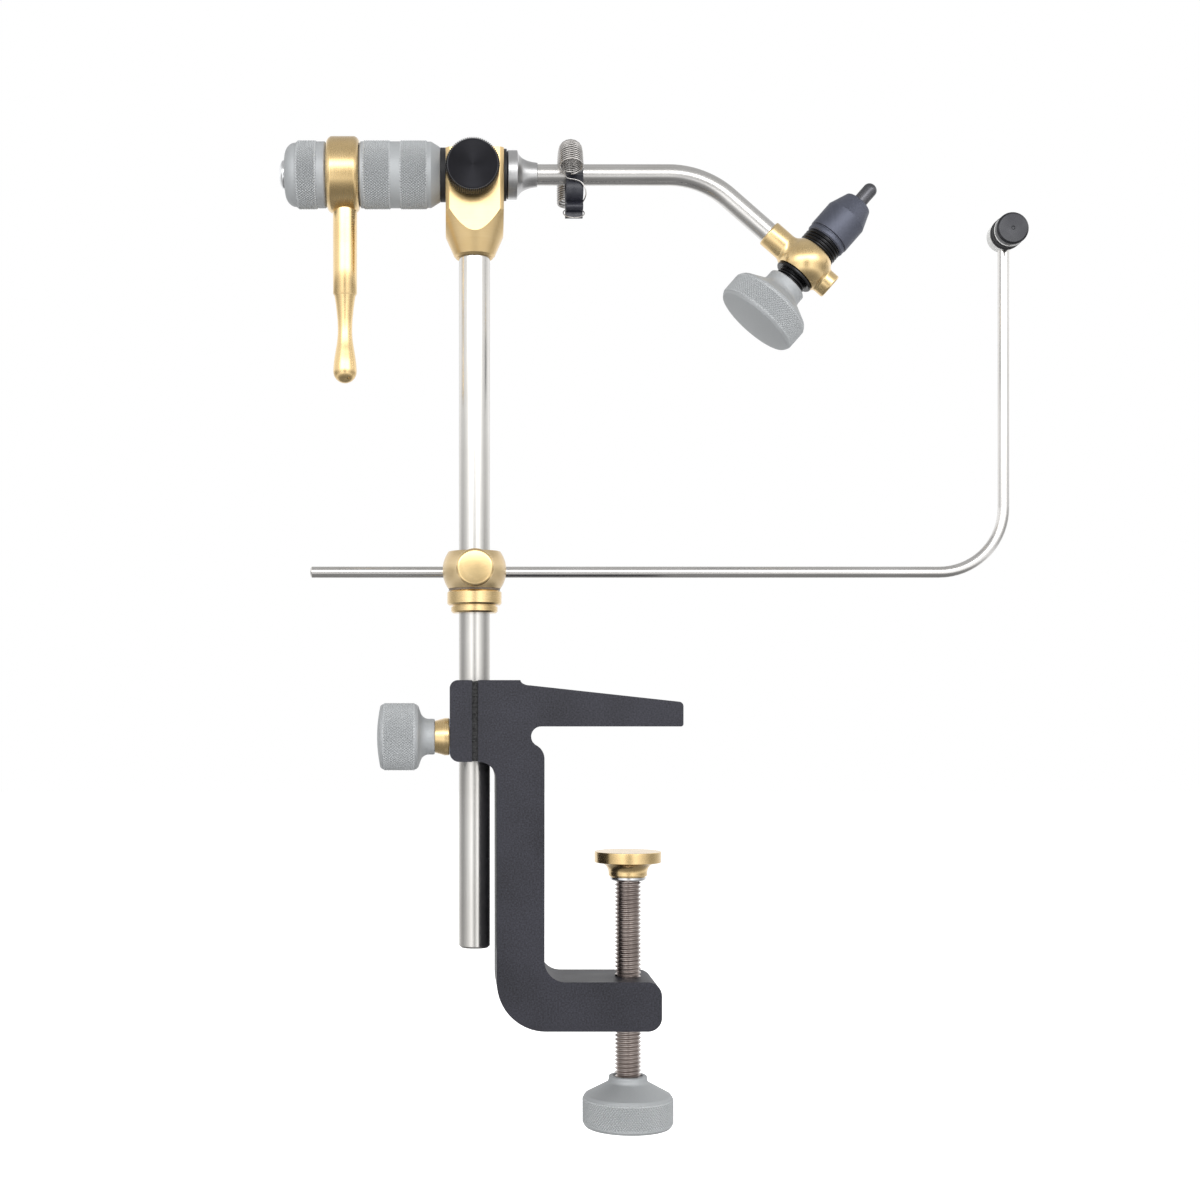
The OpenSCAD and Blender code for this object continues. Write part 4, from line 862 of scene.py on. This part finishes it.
BAND, BETWEEN = 8.4, 2.8
A0 = 1.15
A1, B0, B1 = A0 + BAND, A0 + BAND + BETWEEN, A0 + 2 * BAND + BETWEEN
lathe("grip_turned", [
    (BORE, 0, 0), (9.3, 0, 0.2), (9.85, 0.45, 0.25), (9.85, A0 - 0.1, 0.1),
    (GROOVE, A0 + 0.2, -1), (GROOVE, A1 - 0.2, -1), (9.85, A1 + 0.1, 0.1),
    (9.85, B0 - 0.1, 0.1), (GROOVE, B0 + 0.2, -1), (GROOVE, B1 - 0.2, -1),
    (9.75, B1 + 0.1, 0.1), (9.78, 21.9, 0.3), (8.15, 24.6, 0.3), (7.9, SLEEVE, 0.1),
    (BORE, SLEEVE, 0)],
    along_x(SLEEVE_L), grey, "rotary", ("grip_sleeve",), n=128)
crank_knurl("grip_knurl_a", A0, A1, 16, SLEEVE_L)
crank_knurl("grip_knurl_b", B0, B1, 16, SLEEVE_L)

lathe("ring_turned", [
    (BORE, 0, 0), (10.2, 0, 0.2), (10.9, 0.5, 0.6), (11.4, 1.3, 0.9), (11.4, 8.5, 0.9),
    (10.9, 9.3, 0.6), (10.2, RING, 0.2), (BORE, RING, 0)],
    along_x(RING_L), gold_x, "rotary", ("crank_ring",), n=128)

DOME_FLAT, DOME_HIGH = 5.8, 3.4
profile = [(2.1, 0.0, 0)]
profile += bow(DOME_FLAT, DOME_HIGH, 9.5 - DOME_FLAT, -DOME_HIGH, range(90, -1, -6))
profile += [(9.75, 3.6, 0.1), (GROOVE, 3.9, -1), (GROOVE, 9.6, -1), (9.75, 9.9, 0.1),
            (9.85, 10.0, 0.1), (9.85, 12.2, 0.3), (9.3, CAP, 0.2), (BORE, CAP, 0)]
lathe("cap_turned", profile, along_x(CAP_L), grey, "rotary", ("end_cap",), n=128)
crank_knurl("cap_knurl", 3.7, 9.8, 12, CAP_L)

# Button head with its hex socket
HEAD_R, HEAD_EDGE = 4.4, -0.4
profile = [(0, 9.0, 0), (2.0, 9.0, 0.2), (2.0, 0, 0), (HEAD_R, 0, 0.1),
           (HEAD_R, HEAD_EDGE, 0.2)]
profile += bow(0, HEAD_EDGE, HEAD_R, -1.6, range(8, 66, 6))
profile += [(1.75, -1.9, 0.1), (1.7, -1.1, 0.1), (0, -1.0, 0)]
lathe("end_screw_turned", profile, along_x(CAP_L - 0.02), bright, "rotary",
      ("end_screw",), n=64)

# Crank handle, down from the ring: its outline as (length, radius) measured in the photo
HANDLE_Z = -11.4
HANDLE_TOP = HANDLE_Z + 1.4 - 0.02
HANDLE_X = (RING_L + RING_R) / 2 + 0.5
SHORTER = 0.982
TIP_R = 3.62
outline = ((18.0, 3.68), (25.6, 3.66), (26.2, 3.25), (28.5, 2.88), (31.6, 2.52), (34.6, 2.27),
           (37.7, 2.215), (40.8, 2.47), (43.9, 2.98), (46.9, 3.42), (49.5, TIP_R))
knots = [(r, HANDLE_Z - y * SHORTER, -1) for y, r in outline]
profile = [(0, HANDLE_TOP, 0), (3.7, HANDLE_TOP, 0), (3.7, -19.0, -1)]
profile += knots[:2] + spline(knots[2:])
profile += bow(0, HANDLE_Z - 48.9, TIP_R, -TIP_R, range(0, 91, 6))
lathe("handle_turned", profile, AXIS @ Matrix.Translation((HANDLE_X, 0, 0)), gold_z, "rotary",
      ("crank_handle",), n=72)

FLANGE_X = -37.15
profile = [(3.2, 0, 0), (7.0, 0, 0.2), (7.3, 0.3, 0.2), (7.3, 3.1, 0.25), (6.6, 3.3, 0.2)]
profile += spline([(6.2, 3.5, -1), (5.1, 4.5, -1), (4.35, 5.9, -1), (3.9, 7.4, -1),
                   (3.6, 9.3, -1)])
profile += [(3.2, 9.3, 0)]
lathe("flange_turned", profile, along_x(FLANGE_X), satin, "rotary",
      ("shaft_flange",))

# Drag knob: straight fine knurl on the rim, turned face with a shallow dish
DRAG = Matrix.Translation((DRAG_X, DRAG_Y, DRAG_Z)) @ TO_FRONT
lathe("drag_turned", [
    (0, 0, 0), (2.9, 0, 0), (7.2, 0, 0.1), (7.5, 0.5, 0.1), (7.5, 5.8, 0.05), (7.4, 6.0, 0.1),
    (7.0, 5.95, 0.3), (0.5, 5.75, 0.2), (0, 5.7, 0)],
    DRAG, black_faced, "drag_knob", ("drag_knob",))


def rim_teeth(name, z0, z1, root, top, teeth, matrix, mat, body):
    """Straight knurl on a rim: four columns of points to a tooth, with sloped ends."""
    slope, inner = 0.3, 0.95
    bm = bmesh.new()
    rings = []
    for z, lift in ((z0, 0.0), (z0 + slope, 1.0), (z1 - slope, 1.0), (z1, 0.0)):
        ring = []
        for i in range(teeth * 4):
            r = root + (top - root) * (0, 1, 1, 0)[i % 4] * lift
            t = 2 * math.pi * (i + (0.25 if i % 4 == 1 else 0)) / (teeth * 4)
            ring.append(bm.verts.new((r * math.cos(t), r * math.sin(t), z)))
        rings.append(ring)
    for a, b in zip(rings, rings[1:]):
        bridge(bm, a, b)
    for ring in (rings[0], rings[-1]):
        bridge(bm, ring, [bm.verts.new((v.co.x * inner, v.co.y * inner, v.co.z))
                          for v in ring])
    bmesh.ops.recalc_face_normals(bm, faces=bm.faces)
    finish_mesh(bm, name, matrix, mat, body, smooth=False)


rim_teeth("drag_rim", 0.5, 5.9, 7.60, 8.1, 76, DRAG, black_turned, "drag_knob")


# Jaws

def arc(cx, cy, r, a, b, steps=24):
    """Profile points on an arc about (cx, cy): x along the axis, y the radius."""
    return [(cy + r * math.sin(math.radians(a + (b - a) * i / steps)),
             cx + r * math.cos(math.radians(a + (b - a) * i / steps)), -1)
            for i in range(steps + 1)]


def solid(name, bm, matrix):
    """Loose object in mm, to be cut before it is finished."""
    bmesh.ops.transform(bm, matrix=matrix, verts=bm.verts)
    bmesh.ops.recalc_face_normals(bm, faces=bm.faces)
    mesh = bpy.data.meshes.new(name)
    bm.to_mesh(mesh)
    bm.free()
    o = bpy.data.objects.new(name, mesh)
    bpy.context.collection.objects.link(o)
    return o


def cut(o, cutter):
    """Takes the cutter away from the object, and then removes the cutter."""
    mod = o.modifiers.new("cut", "BOOLEAN")
    mod.operation = "DIFFERENCE"
    mod.solver = "EXACT"
    mod.object = cutter
    deps = bpy.context.evaluated_depsgraph_get()
    mesh = bpy.data.meshes.new_from_object(o.evaluated_get(deps))
    o.modifiers.clear()
    o.data = mesh
    bpy.data.objects.remove(cutter)


def jaw_block():
    """Ball with a collar for the shaft and a nub, joined by coves and cut for the barrel."""
    ball, collar, nub, big, small = 8.0, 4.1, 3.9, 3.0, 1.2
    left = math.sqrt((ball + big) ** 2 - (collar + big) ** 2)
    left_a = math.degrees(math.atan2(collar + big, -left))
    right = math.sqrt((ball + small) ** 2 - (nub + small) ** 2)
    right_a = math.degrees(math.atan2(nub + small, right))
    profile = [(0, -14.8, 0), (collar, -14.8, 0.6)]
    profile += arc(-left, collar + big, big, 270, 180 + left_a)
    profile += arc(0, 0, ball, left_a, right_a)[1:]
    profile += arc(right, nub + small, small, 180 + right_a, 270, 10)[1:]
    profile += [(nub, 10.6, 0.6), (0, 10.6, 0)]
    body = solid("jaw_solid", revolve(profile, 128, 5)[0], TO_X)
    # The two flats and the barrel's bore
    for r, z0, z1 in ((ball, 4.9, 9.5), (ball, -9.5, -4.4), (5.07, -9.6, 9.6)):
        bm = bmesh.new()
        bmesh.ops.create_cone(bm, cap_ends=True, segments=96, radius1=r, radius2=r,
                              depth=z1 - z0)
        cut(body, solid("cutter", bm, Matrix.Translation((0, 0, (z0 + z1) / 2))))
    bm = bmesh.new()
    bm.from_mesh(body.data)
    bpy.data.objects.remove(body)
    crease(bm, 30)
    finish_mesh(bm, "jaw_block_turned", JAW, gold_jaw, "rotary", ("jaw_block",))


jaw_block()
thread("barrel_thread_low", -7.85, -5.5, 4.55, 5.05, 0.8, JAW, black_thread, "rotary")
thread("barrel_thread_high", 4.98, 9.04, 5.75, 6.25, 1.0, JAW, black_thread, "rotary")
BAR_BORE = 2.25
lathe("barrel_core", [
    (BAR_BORE, BARREL_LOW, 0), (4.6, BARREL_LOW, 0.1), (4.6, -5.46, 0), (5.0, -5.44, 0),
    (5.0, 4.94, 0), (5.8, 4.95, 0.05), (5.8, 9.05, 0.05), (5.0, 9.06, 0), (5.0, 18.0, 0),
    (BAR_BORE, 18.0, 0)],
    JAW, black_thread, "rotary", ("chuck_barrel",), n=64)
lathe("nose_turned", [
    (5.1, 9.1, 0), (6.1, 9.1, 0), (6.5, 9.5, 0.2), (6.5, 10.5, 0.15), (6.2, 10.62, 0.08),
    (6.2, 11.0, 0.08), (6.7, 11.1, 0.15), (6.7, 19.1, 0.35), (4.5, 24.8, 0.5),
    (3.6, 25.1, 0.2), (2.7, 25.1, 0.2), (2.3, 24.4, 0), (BAR_BORE, 18.1, 0), (5.1, 18.1, 0)],
    JAW, slate, "rotary", ("nose_sleeve",))


# Material clip

def strip(name, line, w, t, edge, mat, body, stands_for):
    """Flat strip of width w along X with bevelled edges, along a line of (y, z) points."""
    bm = bmesh.new()
    section = [(-w / 2, -t / 2 + edge), (-w / 2, t / 2 - edge), (-w / 2 + edge, t / 2),
               (w / 2 - edge, t / 2), (w / 2, t / 2 - edge), (w / 2, -t / 2 + edge),
               (w / 2 - edge, -t / 2), (-w / 2 + edge, -t / 2)]
    pts = [Vector(p) for p in line]
    rings = []
    for i, p in enumerate(pts):
        d = (pts[min(i + 1, len(pts) - 1)] - pts[max(i - 1, 0)]).normalized()
        rings.append([bm.verts.new((x, p.x + d.y * s, p.y - d.x * s)) for x, s in section])
    tube(bm, rings)
    finish_mesh(bm, name, AXIS @ Matrix.Translation((CLIP_X, 0, 0)), mat, body, stands_for)


def hug(side, angles):
    """Points (y, z) of the strip's middle line where it hugs the shaft."""
    r = 3.235 + 0.35
    return [(side * r * math.cos(math.radians(a)), r * math.sin(math.radians(a)))
            for a in angles]


front = hug(-1, range(90, -19, -9)) + [
    (-3.85, -2.5), (-4.3, -4.1), (-4.2, -5.9), (-3.4, -7.4), (-2.0, -8.4), (-1.6, -8.7),
    (-2.2, -9.1), (-3.2, -9.9), (-3.45, -10.6), (-2.9, -11.15), (-1.4, -11.35), (-0.9, -11.9),
    (-0.9, -13.5)]
back = hug(1, range(81, -55, -9)) + [
    (1.9, -4.2), (1.5, -5.8), (1.35, -7.4), (0.5, -8.8), (0.39, -10.9), (0.45, -12.6),
    (0.5, -13.2)]
strip("clip_strip", spline(front[::-1] + back, 3), 5.3, 0.7, 0.12, clip_black, "clip",
      ("clip_band",))

SPRING_X = CLIP_X - 1.2
# The spring's middle line from its front end over the top to its far end, as (y, z) about
# the axis
SPRING = ((-8.5, 0.0), (-7.1, 2.4), (-5.4, 4.8), (-3.0, 6.6), (0.0, 7.15), (3.1, 6.55),
          (5.6, 4.6), (7.1, 1.8), (7.5, -1.3), (7.1, -4.3), (6.4, -6.9))


def coil_line(path, turns, wide, deep):
    """Helix of the given turns round a line of (y, z) points."""
    per = 16  # points to a turn
    pts = [Vector(p) for p in spline(path, 8)]
    run = [0.0]
    for a, b in zip(pts, pts[1:]):
        run.append(run[-1] + (b - a).length)
    out, j = [], 0
    n = turns * per
    for i in range(n + 1):
        at = run[-1] * i / n
        while j < len(pts) - 2 and run[j + 1] < at:
            j += 1
        t = (at - run[j]) / (run[j + 1] - run[j])
        mid = pts[j].lerp(pts[j + 1], t)
        d = (pts[min(j + 2, len(pts) - 1)] - pts[max(j - 1, 0)]).normalized()
        b = 2 * math.pi * i / per
        mid = mid + Vector((d.y, -d.x)) * deep * math.cos(b)
        out.append((SPRING_X + wide * math.sin(b), mid.x, AXIS_Z + mid.y))
    return out


wire("clip_coil", coil_line(SPRING, 37, 3.3, 2.95), 0.33, spring_wire, "clip",
     ("clip_spring",), sides=7)
loop_high = spline(
    ((-3.4, -6.9, -0.9), (-2.5, -5.3, -2.4), (-0.2, -5.2, -2.9), (1.8, -5.1, -3.6),
     (3.0, -4.9, -5.2), (3.4, -4.5, -6.9), (3.15, -3.6, -8.1), (2.75, -1.6, -8.6),
     (2.7, 0.6, -8.8)), 6)
loop_low = [(3.25 * math.cos(math.radians(a)), 3.0 * math.sin(math.radians(a)),
             -11.7 + 2.2 * math.sin(math.radians(a))) for a in range(0, 360, 10)]
for name, line, closed in (("clip_wire_high", loop_high, False),
                           ("clip_wire_low", loop_low, True)):
    wire(name, [(CLIP_X + x, y, AXIS_Z + z) for x, y, z in line], 0.2, spring_wire, "clip",
         closed=closed)


# Cradle

THUMB = Matrix.Translation((STEM_X, -10.15, CRADLE_Z)) @ TO_FRONT
profile = [(0, -5.19, 0), (2.5, -5.19, 0.3), (2.5, -0.55, 0), (3.5, -0.55, 0.1),
           (3.5, 0, 0.1), (5.1, 0, 0.1), (5.7, 0.5, 0.3), (5.7, 2.1, 0.5)]
profile += [(5.2 * i / 12, 3.0 - 0.3 * (i / 12) ** 2, -1) for i in range(12, -1, -1)]
lathe("thumb_turned", profile, THUMB, gold_y, "thumb_screw", ("cradle_thumb_screw",),
      n=72)

# The rod's end, with the tyre and the cap given by their height on it
HUB = Matrix.Translation((117.5, 0, CRADLE_Z + 104.5)) @ TO_FRONT
TYRE = -4.86
lathe("tyre_turned", [
    (1.52, TYRE, 0), (4.4, TYRE, 0.2), (5.0, TYRE + 0.5, 0.35), (5.0, TYRE + 1.5, 0.15),
    (4.85, TYRE + 1.65, 0.1), (4.85, TYRE + 2.4, 0.1), (5.0, TYRE + 2.55, 0.15),
    (5.0, TYRE + 3.6, 0.35), (4.4, TYRE + 4.1, 0.2), (1.52, TYRE + 4.1, 0)],
    HUB, rubber, "cradle_rod", ("cradle_tyre",), n=72)
FACE = 0.10
lathe("cap_turned_front", [
    (0, -8.5, 0), (1.5, -8.5, 0.2), (1.5, FACE, 0), (4.9, FACE, 0.1), (4.9, FACE + 2.0, 0.15),
    (4.35, FACE + 2.6, 0.15), (0.6, FACE + 2.6, 0.1), (0.4, FACE + 2.45, 0.05),
    (0, FACE + 2.45, 0)],
    HUB, black_turned, "cradle_rod", ("cradle_cap",), n=72)


# Floor

# Below the lowest point at rest, so that the clamp knob has room: it comes down by 29 mm
FLOOR_DROP = 0.032


def floor_paint():
    """Pale grey, with a glow that only the camera sees, so that the floor turns white."""
    mat = bpy.data.materials.new("floor")
    mat.use_nodes = True
    t = mat.node_tree
    t.nodes.clear()
    out = t.nodes.new("ShaderNodeOutputMaterial")
    matt = t.nodes.new("ShaderNodeBsdfDiffuse")
    noise = t.nodes.new("ShaderNodeTexNoise")
    noise.inputs["Scale"].default_value = 8
    ramp = t.nodes.new("ShaderNodeValToRGB")
    ramp.color_ramp.elements[0].color = (0.90, 0.90, 0.90, 1)
    ramp.color_ramp.elements[1].color = (0.92, 0.92, 0.92, 1)
    glow = t.nodes.new("ShaderNodeEmission")
    glow.inputs["Strength"].default_value = 0.75
    add = t.nodes.new("ShaderNodeAddShader")
    path = t.nodes.new("ShaderNodeLightPath")
    mix = t.nodes.new("ShaderNodeMixShader")
    for a, b in (
            (noise.outputs["Fac"], ramp.inputs[0]), (ramp.outputs[0], matt.inputs["Color"]),
            (matt.outputs[0], add.inputs[0]), (glow.outputs[0], add.inputs[1]),
            (path.outputs["Is Camera Ray"], mix.inputs[0]), (matt.outputs[0], mix.inputs[1]),
            (add.outputs[0], mix.inputs[2]), (mix.outputs[0], out.inputs[0])):
        t.links.new(a, b)
    return mat


def white_floor():
    """Flat floor, which metal doesn't reflect."""
    bm = bmesh.new()
    bmesh.ops.create_grid(bm, x_segments=4, y_segments=4, size=3.0)
    mesh = bpy.data.meshes.new("floor")
    bm.to_mesh(mesh)
    bm.free()
    floor = bpy.data.objects.new("floor", mesh)
    bpy.context.collection.objects.link(floor)
    floor.location = (0, 0, float(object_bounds()[0][2]) - FLOOR_DROP)
    floor.visible_glossy = False
    mesh.materials.append(floor_paint())
    floor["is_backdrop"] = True


white_floor()
